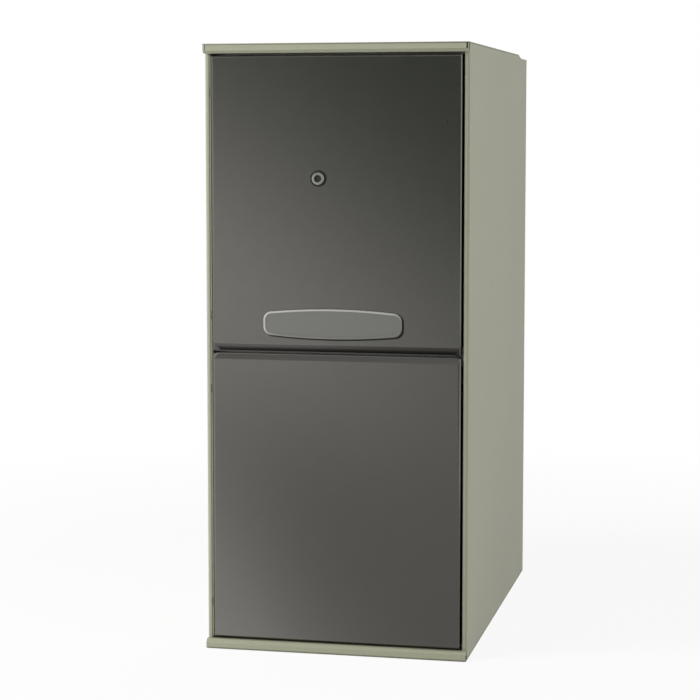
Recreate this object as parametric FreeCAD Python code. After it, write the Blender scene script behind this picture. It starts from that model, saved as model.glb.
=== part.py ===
import FreeCAD, Part
import math
import os

# Upflow condensing gas furnace with two lift-off doors.
# x runs to the right, the front faces -y, z is up, and the origin is the middle of the base.
# Every length is in millimetres.

# Cabinet
CABINET_WIDTH = 444.5
CABINET_DEPTH = 730.0
CABINET_HEIGHT = 1016.0
SHEET = 1.0
BEND = 1.0
FIT = 0.25
RUNNING_FIT = 0.06
END_PLAY = 0.4
OVERRUN = 5.0
REAR_FLANGE = 18.0
NOTCH_LENGTH = 122.0
NOTCH_RUN = 40.0
NOTCH_DROP = 6.0
INSULATION = 10.0

# Front posts and rails
POST_WIDTH = 8.25
POST_RETURN = 26.0
POST_BEND = 3.5
RAIL_PROUD = 12.0
RAIL_LEG = 40.0
RAIL_BEVEL = 5.0
RAIL_SLIT_EDGE = 1.5
RAIL_SLIT_WIDTH = 2.5
TOP_RAIL_HEIGHT = 16.0
BOTTOM_RAIL_HEIGHT = 15.0
MIDDLE_RAIL_HEIGHT = 36.0
MIDDLE_RAIL_LEG = 20.0
MIDDLE_RAIL_SETBACK = 2.0

# Base, top and inner walls
BASE_RIM = 20.0
RETURN_SIDE_MARGIN = 32.0
RETURN_FRONT_MARGIN = 70.0
RETURN_REAR_MARGIN = 36.0
RETURN_FLANGE = 12.0
TOP_RECESS = 18.0
TOP_RIM = 10.0
SUPPLY_SIDE_MARGIN = 32.0
SUPPLY_FRONT_MARGIN = 20.0
SUPPLY_REAR_MARGIN = 36.0
SUPPLY_FLANGE = 11.0
VESTIBULE_DEPTH = 203.0
VESTIBULE_FLANGE = 12.0
DECK_FLANGE = 15.0

# Doors
DOOR_SPLIT_HEIGHT = 504.0
DOOR_SPLIT_GAP = 3.5
DOOR_PROUD = 4.0
DOOR_DEPTH = 22.0
DOOR_SIDE_GAP = 3.5
DOOR_END_GAP = 3.5
DOOR_EDGE_RADIUS = 4.0
GRIP_END = 2.5
GRIP_LIP = 1.3
UPPER_GRIP_HEIGHT = 14.0
UPPER_GRIP_DEPTH = 9.0
LOWER_GRIP_HEIGHT = 9.5
LOWER_GRIP_DEPTH = 6.0
PILOT_EDGE = 24.8
PILOT_DROP = 109.9
PILOT_RADIUS = 1.6
DOOR_LINER = 10.0
LINER_MARGIN = 30.0
LOWER_LINER_TOP_MARGIN = 62.0
CATCH_THICKNESS = 0.6
CATCH_LENGTH = 18.0
CATCH_WIDTH = 14.0
CATCH_INSET = 60.0

# Sight glass in the upper door
SIGHT_X = -27.9
SIGHT_DROP = 201.9
SIGHT_GASKET_RADIUS = 13.5
SIGHT_GASKET = 1.5
SIGHT_BEZEL_RADIUS = 10.3
SIGHT_BEZEL = 3.5
SIGHT_BEZEL_ROUND = 1.6
SIGHT_SLEEVE_RADIUS = 8.2
SIGHT_SLEEVE = 8.0
SIGHT_BORE = 6.0
SIGHT_LENS = 3.0
SIGHT_LENS_SETBACK = 2.0
SIGHT_LINER_MARGIN = 5.0

# Nameplate on the upper door
PLATE_LENGTH = 234.0
PLATE_HEIGHT = 50.0
PLATE_BOW = 6.5
PLATE_THICKNESS = 5.0
PLATE_CORNER = 14.0
PLATE_RIM = 3.2
PLATE_RECESS = 0.9
PLATE_EDGE_ROUND = 1.4
PLATE_X = -4.0
PLATE_RISE = 48.95

# Heat exchanger
TUBE_COUNT = 4
TUBE_PITCH_SHARE = 0.153
TUBE_RADIUS = 22.0
TUBE_WALL = 1.5
TUBE_LIP = 2.0
PASS_PITCH_SHARE = 0.182
FIRST_PASS_SHARE = 0.67
TUBE_REAR_CLEARANCE = 12.0
TUBE_FRONT_CLEARANCE = 15.0
COUPLING_DEPTH = 40.0
COUPLING_CLEARANCE = 12.0
COUPLING_MARGIN = 10.0
COUPLING_FLANGE = 8.0
COUPLING_ROUND = 10.0
COIL_FLOOR_GAP = 12.0
COIL_HEIGHT_SHARE = 0.182
COIL_SIDE_ROOM = 71.25
FIN_PITCH = 12.0
FIN_THICKNESS = 1.0
COIL_SPINE = 8.0
COIL_END_PLATE = 3.0

# Condensate collector and trap
COLLECTOR_SIDE_ROOM = 71.25
COLLECTOR_FLOOR_GAP = 6.0
COLLECTOR_RISE = 22.0
COLLECTOR_DEPTH = 45.0
COLLECTOR_ROUND = 8.0
COLLECTOR_WALL = 3.0
COLLECTOR_FLANGE = 8.0
COLLECTOR_FLANGE_THICKNESS = 3.0
COLLECTOR_RIB_COUNT = 4
COLLECTOR_RIB_PITCH = 30.0
COLLECTOR_RIB_WIDTH = 4.0
COLLECTOR_RIB_PROUD = 3.0
COLLECTOR_RIB_MARGIN = 14.0
TRAP_WIDTH = 44.0
TRAP_DEPTH = 40.0
TRAP_HEIGHT = 84.0
TRAP_ROUND = 6.0
TRAP_GAP = 12.0
TRAP_SETBACK = 35.0
TRAP_CAP_RADIUS = 9.0
TRAP_CAP_HEIGHT = 9.0
TRAP_CAP_SHARES = (0.25, 0.75)
DRAIN_RADIUS = 10.5
DRAIN_BORE = 8.0
DRAIN_BORE_DEPTH = 16.0
DRAIN_HEIGHT = 24.0
DRAIN_WALL_GAP = 6.0
NIPPLE_RADIUS = 7.0
NIPPLE_HEIGHT = 30.0

# Burners and gas train
BURNER_GAP = 22.0
BURNER_LENGTH = 80.0
BURNER_HEAD_RADIUS = 17.0
BURNER_THROAT_RADIUS = 10.0
BURNER_BELL_RADIUS = 16.0
BURNER_WALL = 1.5
BURNER_STATION_SHARES = (0.0, 0.28, 0.5, 0.82, 1.0)
RACK_STATION_SHARE = 0.39
RACK_DROP = 34.0
HOOD_SIDE_MARGIN = 30.0
HOOD_RISE = 38.0
HOOD_DROP = 40.0
HOOD_FRONT_MARGIN = 18.0
ORIFICE_RADIUS = 6.0
ORIFICE_TIP_RADIUS = 3.0
ORIFICE_LENGTH = 14.0
ORIFICE_TIP = 4.0
ORIFICE_REACH = 3.0
MANIFOLD_RADIUS = 13.0
MANIFOLD_BOSS_RADIUS = 8.5
MANIFOLD_BOSS = 3.0
MANIFOLD_BEND = 30.0
MANIFOLD_END = 8.0
GAS_VALVE_WIDTH = 80.0
GAS_VALVE_DEPTH = 62.0
GAS_VALVE_HEIGHT = 72.0
GAS_VALVE_DROP = 65.0
GAS_VALVE_WALL_GAP = 18.0
GAS_VALVE_ROUND = 5.0
GAS_COLLAR_RADIUS = 17.0
GAS_COLLAR = 9.0
GAS_INLET_BOSS_RADIUS = 17.0
GAS_INLET_BOSS = 10.0
GAS_INLET_BORE = 10.3
GAS_INLET_DEPTH = 18.0
GAS_REGULATOR_RADIUS = 13.0
GAS_REGULATOR = 12.0
GAS_REGULATOR_X = 20.0
GAS_REGULATOR_RISE = 18.0
KNOB_X = -14.0
KNOB_RISE = -12.0
KNOB_RADIUS = 16.0
KNOB_THICKNESS = 7.0
KNOB_GRIP_LENGTH = 28.0
KNOB_GRIP_WIDTH = 7.0
KNOB_GRIP = 8.0
KNOB_STEM_RADIUS = 4.0
KNOB_STEM = 10.0
KNOB_GAP = 0.4

# Flame safety pieces
PROBE_SETBACK = 12.0
PROBE_BLOCK_LENGTH = 20.0
PROBE_BLOCK_SIZE = 14.0
PROBE_HOLE_RADIUS = 5.5
PROBE_REACH = 20.0
IGNITER_BLADE_THICKNESS = 3.0
IGNITER_BLADE_WIDTH = 7.0
SENSOR_ROD_RADIUS = 1.5
ROLLOUT_SETBACK = 75.0
ROLLOUT_PLATE_LENGTH = 34.0
ROLLOUT_PLATE_WIDTH = 13.0
ROLLOUT_PLATE = 1.5
ROLLOUT_BODY_RADIUS = 11.0
ROLLOUT_BODY = 9.0
ROLLOUT_NECK_RADIUS = 5.0
ROLLOUT_NECK = 3.5
RESET_RADIUS = 2.6
RESET_LENGTH = 9.0
RESET_PROUD = 3.0
RESET_TRAVEL = 2.0
LIMIT_SIDE_ROOM = 37.25
LIMIT_HEIGHT_SHARE = 0.77
LIMIT_PLATE_WIDTH = 28.0
LIMIT_PLATE_HEIGHT = 46.0
LIMIT_PLATE = 1.5
LIMIT_BODY_RADIUS = 11.0
LIMIT_BODY = 14.0

# Draught inducer
INDUCER_SIDE_ROOM = 101.25
INDUCER_HEIGHT = 78.0
INDUCER_PLATE = 3.0
INDUCER_DEPTH = 62.0
INDUCER_WALL = 2.5
INDUCER_STEP = 10.0
INDUCER_CLEARANCE = 5.0
INDUCER_NECK = 15.0
INDUCER_NECK_TOP = 95.0
INDUCER_INLET_RADIUS = 25.0
INDUCER_WHEEL_RADIUS = 45.0
INDUCER_WHEEL_EYE = 24.0
INDUCER_WHEEL_WIDTH = 30.0
INDUCER_DISC = 2.0
INDUCER_BLADE_COUNT = 12
INDUCER_BLADE = 1.6
INDUCER_BLADE_LEAN = -34.0
INDUCER_BLADE_CAMBER = 3.0
INDUCER_HUB_RADIUS = 9.0
INDUCER_SHAFT_RADIUS = 4.0
INDUCER_SHAFT_HOLE = 7.0
INDUCER_WHEEL_GAP = 8.0
INDUCER_MOTOR_FLANGE_RADIUS = 47.0
INDUCER_MOTOR_FLANGE = 3.0
INDUCER_MOTOR_RADIUS = 42.0
INDUCER_MOTOR_LENGTH = 56.0
INDUCER_MOTOR_NOSE_RADIUS = 15.0
INDUCER_MOTOR_NOSE = 8.0
INDUCER_MOTOR_ROUND = 9.0
INDUCER_SHAFT_SEAT = 28.0

# Vent and combustion air
VENT_RADIUS = 30.15
VENT_WALL = 3.9
VENT_SPIGOT = 26.0
BOOT_THICKNESS = 4.5
BOOT_OVERLAP = 24.0
COLLAR_BORE_CLEARANCE = 0.3
COLLAR_WALL = 3.2
COLLAR_FLANGE = 13.0
COLLAR_FLANGE_THICKNESS = 3.0
COLLAR_RISE = 14.0
COLLAR_DROP = 34.0
COLLAR_SOCKET = 28.0
COLLAR_STOP = 2.0

# Pressure switch and hose
SWITCH_X = -45.0
SWITCH_GAP = 33.0
SWITCH_RADIUS = 31.0
SWITCH_RIM = 6.0
SWITCH_RIM_INSET = 6.0
SWITCH_DEPTH = 24.0
SWITCH_FOOT_LENGTH = 84.0
SWITCH_FOOT_WIDTH = 22.0
SWITCH_FOOT = 2.0
BARB_RADIUS = 3.0
BARB_LENGTH = 12.0
BARB_SHOWING = 1.0
HOSE_RADIUS = 5.0
HOSE_CURVE_SHARE = 0.45

# Grommets in the left wall
GROMMET_LIP = 4.0
GROMMET_WALL = 3.5
GROMMET_DEPTH = 3.5
GAS_HOLE_RADIUS = 20.0
DRAIN_HOLE_RADIUS = 15.0
POWER_HOLE_RADIUS = 14.0
POWER_HOLE_SETBACK = 60.0
POWER_HOLE_DROP = 90.0

# Blower
BLOWER_SETBACK = 293.0
BLOWER_DROP = 160.0
BLOWER_HALF_WIDTH = 120.0
BLOWER_STEP = 22.0
BLOWER_CLEARANCE = 8.0
BLOWER_NECK = 4.0
BLOWER_FLANGE = 14.0
BLOWER_INLET_RADIUS = 112.0
BLOWER_LIP_RADIUS = 8.0
WHEEL_RADIUS = 127.0
WHEEL_EYE = 106.0
WHEEL_HALF_WIDTH = 100.0
WHEEL_RING = 2.0
WHEEL_DISC = 2.0
WHEEL_BLADE_COUNT = 38
WHEEL_BLADE = 0.9
WHEEL_BLADE_LEAN = 5.0
WHEEL_BLADE_CAMBER = 4.5
WHEEL_RING_COVER = 2.0
WHEEL_HUB_RADIUS = 17.0
WHEEL_HUB_REACH = 24.0
WHEEL_HUB_BACK = 9.0
SHAFT_RADIUS = 6.35
SHAFT_OVERHANG = 6.0
SHAFT_SEAT = 30.0
MOTOR_HUB_GAP = 5.0
MOTOR_RADIUS = 68.0
MOTOR_LENGTH = 142.0
MOTOR_ROUND = 9.0
MOTOR_NOSE_RADIUS = 19.0
MOTOR_NOSE = 3.0
MOTOR_CAP_STEP = 4.0
MOTOR_CAP = 30.0
MOUNT_BAND = 2.0
MOUNT_BAND_WIDTH = 26.0
MOUNT_BAND_OFFSET = 5.0
MOUNT_ARM_COUNT = 3
MOUNT_ARM_WIDTH = 24.0
MOUNT_ARM = 2.0
MOUNT_FOOT_INNER = 126.0
MOUNT_FOOT_OUTER = 144.0
MOUNT_ARM_ANGLE = 90.0

# Controls under the blower deck
CONTROL_SETBACK = 103.0
CONTROL_SIDE_ROOM = 31.25
CONTROL_WIDTH = 274.0
CONTROL_HEIGHT = 128.0
CONTROL_FLANGE = 18.0
BOARD_LEFT_MARGIN = 14.0
BOARD_WIDTH = 172.0
BOARD_HEIGHT = 100.0
BOARD_THICKNESS = 1.6
BOARD_DROP = 14.0
STANDOFF = 7.0
STANDOFF_RADIUS = 3.0
STANDOFF_INSET = 7.0
RELAY_COUNT = 3
RELAY_WIDTH = 19.0
RELAY_DEPTH = 17.0
RELAY_HEIGHT = 24.0
RELAY_PITCH_SHARE = 0.17
RELAY_LEFT_SHARE = 0.12
RELAY_HEIGHT_SHARE = 0.62
CAPACITOR_RADIUS = 6.5
CAPACITOR_LENGTH = 18.0
CAPACITOR_SHARES = ((0.72, 0.72), (0.84, 0.72), (0.72, 0.5))
TERMINAL_SHARES = (0.12, 0.55)
TERMINAL_HEIGHT_SHARE = 0.1
TERMINAL_HEIGHT = 12.0
TERMINAL_DEPTH = 11.0
TERMINAL_STEP = 5.0
PLUG_SHARES = (0.66, 0.9)
PLUG_HEIGHT_SHARE = 0.12
PLUG_HEIGHT = 16.0
PLUG_DEPTH = 14.0
TRANSFORMER_WIDTH = 58.0
TRANSFORMER_HEIGHT = 48.0
TRANSFORMER_CORE = 20.0
TRANSFORMER_COIL = 38.0
TRANSFORMER_COIL_INSET = 11.0
TRANSFORMER_ROUND = 5.0
TRANSFORMER_FOOT = 1.5
TRANSFORMER_FOOT_REACH = 8.0
TRANSFORMER_LEFT_GAP = 14.0
TRANSFORMER_DROP = 34.0

# Door interlock
INTERLOCK_SIDE_ROOM = 65.25
INTERLOCK_WIDTH = 16.0
INTERLOCK_DEPTH = 30.0
INTERLOCK_HEIGHT = 24.0
INTERLOCK_SETBACK = 6.0
PLUNGER_RADIUS = 3.0
PLUNGER_SEAT = 16.0
PLUNGER_BORE = 20.0
PLUNGER_HEAD_RADIUS = 4.0
PLUNGER_HEAD = 2.0
TAB_WIDTH = 16.0
TAB_FOOT = 12.0
TAB_GAP = 0.3

X_AXIS = FreeCAD.Vector(1, 0, 0)
Y_AXIS = FreeCAD.Vector(0, 1, 0)
Z_AXIS = FreeCAD.Vector(0, 0, 1)
FULL_TURN = 360.0
SAME_DIRECTION = 0.001

# Planes that the pieces share
half_width = CABINET_WIDTH / 2
inner_half = half_width - SHEET
rail_face = -CABINET_DEPTH / 2
rail_leg_end = rail_face + RAIL_LEG
panel_front = rail_face + RAIL_PROUD
back_face = CABINET_DEPTH / 2
back_inner = back_face - 2 * SHEET
post_inner = half_width - POST_WIDTH
door_face = panel_front - DOOR_PROUD
door_inner = door_face + SHEET
door_back = door_face + DOOR_DEPTH
door_half = post_inner - DOOR_SIDE_GAP
middle_rail_face = door_back + MIDDLE_RAIL_SETBACK
deck_top = DOOR_SPLIT_HEIGHT
deck_under = deck_top - SHEET
top_deck = CABINET_HEIGHT - TOP_RECESS
vestibule_front = panel_front + VESTIBULE_DEPTH
vestibule_back = vestibule_front + SHEET
liner_wall = inner_half - INSULATION
liner_back = back_inner - INSULATION
section_height = top_deck - deck_top

# Door edges
upper_bottom = DOOR_SPLIT_HEIGHT + DOOR_SPLIT_GAP / 2
upper_top = CABINET_HEIGHT - TOP_RAIL_HEIGHT - DOOR_END_GAP
lower_bottom = BOTTOM_RAIL_HEIGHT + DOOR_END_GAP
lower_top = DOOR_SPLIT_HEIGHT - DOOR_SPLIT_GAP / 2
pilot_x = door_half - PILOT_EDGE
pilot_z = upper_top - PILOT_DROP
sight_z = upper_top - SIGHT_DROP
plate_z = upper_bottom + PLATE_RISE

# Heat exchanger and burner lines
pass_pitch = section_height * PASS_PITCH_SHARE
first_pass = deck_top + section_height * FIRST_PASS_SHARE
second_pass = first_pass - pass_pitch
third_pass = second_pass - pass_pitch
tube_pitch = CABINET_WIDTH * TUBE_PITCH_SHARE
tube_xs = [tube_pitch * (index - (TUBE_COUNT - 1) / 2) for index in range(TUBE_COUNT)]
tube_bore = TUBE_RADIUS - TUBE_WALL
rear_bend = liner_back - TUBE_REAR_CLEARANCE - TUBE_RADIUS - pass_pitch / 2
front_bend = vestibule_back + TUBE_FRONT_CLEARANCE + TUBE_RADIUS + pass_pitch / 2
coupling_front = liner_back - COUPLING_CLEARANCE - COUPLING_DEPTH
coil_bottom = deck_top + COIL_FLOOR_GAP
coil_top = coil_bottom + section_height * COIL_HEIGHT_SHARE
coil_half = inner_half - COIL_SIDE_ROOM
burner_head = vestibule_front - BURNER_GAP
burner_bell = burner_head - BURNER_LENGTH
orifice_base = burner_bell + ORIFICE_REACH - ORIFICE_LENGTH
manifold_y = orifice_base - MANIFOLD_BOSS - MANIFOLD_RADIUS
hood_half = tube_xs[-1] + HOOD_SIDE_MARGIN
hood_front = manifold_y - HOOD_FRONT_MARGIN
hood_top = first_pass + HOOD_RISE
valve_x = -(inner_half - GAS_VALVE_WALL_GAP - GAS_VALVE_WIDTH / 2)
valve_top = first_pass - GAS_VALVE_DROP
valve_bottom = valve_top - GAS_VALVE_HEIGHT
valve_middle = (valve_top + valve_bottom) / 2
valve_face = manifold_y - GAS_VALVE_DEPTH / 2
knob_x = valve_x + KNOB_X
knob_z = valve_middle + KNOB_RISE

# Inducer and vent lines
collector_front = vestibule_front - COLLECTOR_DEPTH
collector_bottom = deck_top + COLLECTOR_FLOOR_GAP
collector_top = coil_top - COIL_FLOOR_GAP + COLLECTOR_FLOOR_GAP + COLLECTOR_RISE
collector_half = inner_half - COLLECTOR_SIDE_ROOM
inducer_x = inner_half - INDUCER_SIDE_ROOM
inducer_z = deck_top + INDUCER_HEIGHT
inducer_back = collector_front - INDUCER_PLATE
inducer_front = inducer_back - INDUCER_DEPTH
inducer_radius = INDUCER_WHEEL_RADIUS + INDUCER_CLEARANCE + INDUCER_STEP / 2 + INDUCER_WALL
inducer_right = inducer_radius + 2 * INDUCER_STEP + INDUCER_STEP / 2
inducer_left_x = inducer_x - inducer_radius - INDUCER_STEP / 2
vent_x = inducer_x + (INDUCER_NECK + inducer_right) / 2
vent_y = (inducer_back + inducer_front) / 2
neck_top = inducer_z + INDUCER_NECK_TOP
spigot_top = neck_top + VENT_SPIGOT
collar_bore = VENT_RADIUS + COLLAR_BORE_CLEARANCE
collar_outer = collar_bore + COLLAR_WALL
vent_bore = VENT_RADIUS - VENT_WALL
vent_pipe_top = top_deck + COLLAR_RISE - COLLAR_SOCKET - COLLAR_STOP

# Trap, switch and hose lines
trap_right = -collector_half - TRAP_GAP
trap_left = trap_right - TRAP_WIDTH
trap_y = vestibule_front - TRAP_SETBACK
drain_z = deck_top + DRAIN_HEIGHT
switch_z = collector_top + COLLECTOR_FLANGE + SWITCH_GAP + SWITCH_RADIUS
limit_x = LIMIT_SIDE_ROOM - inner_half
limit_z = deck_top + section_height * LIMIT_HEIGHT_SHARE
switch_face = vestibule_front - SWITCH_DEPTH

# Blower lines
blower_y = back_inner - BLOWER_SETBACK
blower_z = deck_under - BLOWER_DROP
blower_radius = WHEEL_RADIUS + BLOWER_CLEARANCE + BLOWER_STEP / 2 + SHEET
blower_right = blower_radius + 2 * BLOWER_STEP + BLOWER_STEP / 2
motor_left = WHEEL_HUB_BACK + MOTOR_HUB_GAP
motor_right = motor_left + MOTOR_LENGTH

# Control and interlock lines
control_y = panel_front + CONTROL_SETBACK
control_bottom = deck_under - CONTROL_HEIGHT
control_left = CONTROL_SIDE_ROOM - inner_half
board_left = control_left + BOARD_LEFT_MARGIN
board_top = deck_under - BOARD_DROP
board_bottom = board_top - BOARD_HEIGHT
board_face = control_y - STANDOFF - BOARD_THICKNESS
interlock_x = inner_half - INTERLOCK_SIDE_ROOM
interlock_top = deck_top - MIDDLE_RAIL_HEIGHT / 2
interlock_z = interlock_top - INTERLOCK_HEIGHT / 2
interlock_face = middle_rail_face + INTERLOCK_SETBACK
tab_back = door_back


def plan(z):
    """Drawing plane seen from above: (x, y) at height z."""
    return lambda u, v: FreeCAD.Vector(u, v, z)


def side(x):
    """Drawing plane seen from the right: (y, z) at the given x."""
    return lambda u, v: FreeCAD.Vector(x, u, v)


def front(y):
    """Drawing plane seen from the front: (x, z) at the given y."""
    return lambda u, v: FreeCAD.Vector(u, y, v)


def box(x, y, z):
    """Box between pairs of limits along the three axes."""
    corner = FreeCAD.Vector(x[0], y[0], z[0])
    return Part.makeBox(x[1] - x[0], y[1] - y[0], z[1] - z[0], corner)


def about(middle, size):
    """Pair of limits that are centred on a middle."""
    return (middle - size / 2, middle + size / 2)


def rod(start, direction, length, radius):
    """Round bar from a start point."""
    return Part.makeCylinder(radius, length, FreeCAD.Vector(*start), direction)


def polygon(place, points):
    """Face with straight sides."""
    corners = [place(u, v) for u, v in points]
    return Part.Face(Part.makePolygon(corners + corners[:1]))


def turned(base, axis, points):
    """Solid turned about an axis from (radius, distance along the axis) points."""
    origin = FreeCAD.Vector(*base)
    across = X_AXIS if axis == Z_AXIS else Z_AXIS
    corners = [origin + across * radius + axis * along for radius, along in points]
    face = Part.Face(Part.makePolygon(corners + corners[:1]))
    return face.revolve(origin, axis, FULL_TURN)


def bent_sheet(place, points, length, thickness=SHEET, bends=()):
    """Bent strip: one surface follows the points, the thickness lies to their left.

    The bends are the inner radii at the corners; where none are given, each is the usual one.
    """
    bends = bends or [BEND for corner in points[1:-1]]
    flat = [FreeCAD.Vector(u, v, 0) for u, v in points]
    runs = [(b - a).normalize() for a, b in zip(flat, flat[1:])]
    lefts = [FreeCAD.Vector(-run.y, run.x, 0) for run in runs]
    near, far = [flat[0]], [flat[0] + lefts[0] * thickness]
    turns = zip(flat[1:], runs, lefts, runs[1:], lefts[1:], bends)
    for corner, run, left, next_run, next_left, bend in turns:
        turn = math.atan2(run.cross(next_run).z, run.dot(next_run))
        near_radius = bend + thickness if turn > 0 else bend
        far_radius = bend if turn > 0 else bend + thickness
        trim = near_radius * math.tan(abs(turn) / 2)
        first, last = corner - run * trim, corner + next_run * trim
        centre = first + left * math.copysign(near_radius, turn)
        outward = (corner - centre).normalize()
        near += [first, centre + outward * near_radius, last]
        far += [first + left * thickness, centre + outward * far_radius, last + next_left * thickness]
    near.append(flat[-1])
    far.append(flat[-1] + lefts[-1] * thickness)
    edges = strip_edges(place, near) + strip_edges(place, far[::-1])
    edges.insert(len(edges) // 2, line(place, near[-1], far[-1]))
    edges.append(line(place, far[0], near[0]))
    return Part.Face(Part.Wire(edges)).extrude(length)


def line(place, start, end):
    """Straight edge between two drawing points."""
    return Part.LineSegment(place(start.x, start.y), place(end.x, end.y)).toShape()


def arc(place, start, middle, end):
    """Round edge through three drawing points."""
    points = [place(point.x, point.y) for point in (start, middle, end)]
    return Part.Arc(*points).toShape()


def strip_edges(place, points):
    """Edges of one side of a bent strip: straight runs, with an arc through each bend."""
    edges = []
    for index in range(0, len(points) - 1, 3):
        edges.append(line(place, points[index], points[index + 1]))
        if index + 3 < len(points):
            edges.append(arc(place, *points[index + 1:index + 4]))
    return edges


def swept(points, radius, curves):
    """Round bar along straight runs joined by arcs of the given radii."""
    stops = [FreeCAD.Vector(*point) for point in points]
    edges, start = [], stops[0]
    for before, corner, after, curve in zip(stops, stops[1:], stops[2:], curves):
        back, ahead = (before - corner).normalize(), (after - corner).normalize()
        trim = curve / math.tan(back.getAngle(ahead) / 2)
        first, last = corner + back * trim, corner + ahead * trim
        halfway = (back + ahead).normalize()
        centre = corner + halfway * math.hypot(trim, curve)
        edges.append(Part.LineSegment(start, first).toShape())
        edges.append(Part.Arc(first, centre - halfway * curve, last).toShape())
        start = last
    edges.append(Part.LineSegment(start, stops[-1]).toShape())
    heading = (stops[1] - stops[0]).normalize()
    section = Part.Wire(Part.Circle(stops[0], heading, radius).toShape())
    return Part.Wire(edges).makePipeShell([section], True, False)


def scroll(place, centre, radius, step, neck, top, inset):
    """Volute outline: three quarter arcs that each grow by one step, then a straight neck."""
    half = step / 2
    first, second, third = radius - inset, radius - inset + step, radius - inset + 2 * step
    middle = FreeCAD.Vector(*centre)
    drawn = []
    for sign_u, sign_v, reach, start_angle in (
        (-1, -1, first, 90), (1, -1, second, 180), (1, 1, third, 270)
    ):
        pivot = middle + FreeCAD.Vector(sign_u * half, sign_v * half, 0)
        angles = [math.radians(start_angle + turn) for turn in (0, 45, 90)]
        drawn.append([pivot + FreeCAD.Vector(math.cos(a), math.sin(a), 0) * reach for a in angles])
    start, end = drawn[0][0], drawn[2][2]
    corners = [
        end,
        FreeCAD.Vector(end.x, middle.y + top, 0),
        FreeCAD.Vector(middle.x + neck + inset, middle.y + top, 0),
        FreeCAD.Vector(middle.x + neck + inset, start.y, 0),
        start,
    ]
    edges = [arc(place, *points) for points in drawn]
    edges += [line(place, a, b) for a, b in zip(corners, corners[1:])]
    return Part.Face(Part.Wire(edges))


def blade(place, centre, radii, lean, camber, thickness, angle):
    """Outline of one curved fan blade; the lean is how far its tip turns past its root."""
    middle = FreeCAD.Vector(*centre)
    ends = []
    for radius, turn in zip(radii, (angle, angle + lean)):
        bearing = math.radians(turn)
        ends.append(middle + FreeCAD.Vector(math.cos(bearing), math.sin(bearing), 0) * radius)
    root, tip = ends
    chord = (tip - root).normalize()
    normal = FreeCAD.Vector(-chord.y, chord.x, 0)
    bulge = (root + tip) / 2 + normal * camber
    across = normal * thickness
    edges = [
        arc(place, root, bulge, tip),
        line(place, tip, tip + across),
        arc(place, tip + across, bulge + across, root + across),
        line(place, root + across, root),
    ]
    return Part.Face(Part.Wire(edges))


def edges_along(shape, axis, keep):
    """Straight edges of a shape that run along an axis and whose midpoint passes a test."""
    found = []
    for edge in shape.Edges:
        straight = edge.Curve.TypeId == "Part::GeomLine"
        if straight and edge.tangentAt(edge.FirstParameter).isEqual(axis, SAME_DIRECTION):
            found.append(edge)
        elif straight and edge.tangentAt(edge.FirstParameter).isEqual(-axis, SAME_DIRECTION):
            found.append(edge)
    return [edge for edge in found if keep(edge.CenterOfGravity)]


def tray(x, y, bottom, rim):
    """Flat sheet with its four edges turned up."""
    outer = box(x, y, (bottom, bottom + rim))
    inner = box(
        (x[0] + SHEET, x[1] - SHEET),
        (y[0] + SHEET, y[1] - SHEET),
        (bottom + SHEET, bottom + rim + OVERRUN),
    )
    return outer.cut(inner)


def flanged_opening(panel, x, y, bottom, flange):
    """Cuts a rectangular duct opening in a level panel and turns its edges up."""
    collar = box(
        (x[0] - SHEET, x[1] + SHEET),
        (y[0] - SHEET, y[1] + SHEET),
        (bottom, bottom + flange),
    )
    hole = box(x, y, (bottom - OVERRUN, bottom + flange + OVERRUN))
    return panel.fuse(collar).cut(hole).removeSplitter()


def right_side_panel():
    """Side wall with its folded front post, rear flange and stepped rear top edge."""
    points = [
        (post_inner, panel_front + POST_RETURN),
        (post_inner, panel_front),
        (half_width, panel_front),
        (half_width, back_face),
        (half_width - REAR_FLANGE, back_face),
    ]
    wall = bent_sheet(plan(0), points, Z_AXIS * CABINET_HEIGHT, bends=(BEND, POST_BEND, BEND))
    post_x = (post_inner - OVERRUN, inner_half)
    post_y = (panel_front - OVERRUN, panel_front + POST_RETURN + OVERRUN)
    wall = wall.cut(box(post_x, post_y, (-OVERRUN, BOTTOM_RAIL_HEIGHT)))
    rail_zone = (CABINET_HEIGHT - TOP_RAIL_HEIGHT, CABINET_HEIGHT + OVERRUN)
    wall = wall.cut(box(post_x, post_y, rail_zone))
    notch_start = back_face - NOTCH_LENGTH
    low = CABINET_HEIGHT - NOTCH_DROP
    notch = [
        (notch_start, CABINET_HEIGHT),
        (notch_start + NOTCH_RUN, low),
        (back_face + OVERRUN, low),
        (back_face + OVERRUN, CABINET_HEIGHT + OVERRUN),
        (notch_start, CABINET_HEIGHT + OVERRUN),
    ]
    return wall.cut(polygon(side(0), notch).extrude(X_AXIS * (half_width + OVERRUN)))


def wall_holes():
    """Places of the three lead-throughs in the left wall as (y, z, radius)."""
    return [
        (manifold_y, valve_middle, GAS_HOLE_RADIUS),
        (trap_y, drain_z, DRAIN_HOLE_RADIUS),
        (control_y - POWER_HOLE_SETBACK, deck_under - POWER_HOLE_DROP, POWER_HOLE_RADIUS),
    ]


def left_side_panel():
    """Mirror of the right wall with the lead-throughs for gas, drain and power."""
    wall = right_side_panel().mirror(FreeCAD.Vector(0, 0, 0), X_AXIS)
    for y, z, radius in wall_holes():
        wall = wall.cut(rod((-half_width - OVERRUN, y, z), X_AXIS, 2 * OVERRUN, radius))
    return wall


def wall_grommets():
    """Rubber rings that line the lead-throughs, flush with the outside of the wall."""
    rings = []
    for y, z, radius in wall_holes():
        bore = radius - GROMMET_WALL
        outline = [
            (bore, 0),
            (radius - FIT, 0),
            (radius - FIT, SHEET),
            (radius + GROMMET_LIP, SHEET),
            (radius + GROMMET_LIP, SHEET + GROMMET_DEPTH),
            (bore, SHEET + GROMMET_DEPTH),
        ]
        rings.append(turned((-half_width, y, z), X_AXIS, outline))
    return Part.makeCompound(rings)


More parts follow.
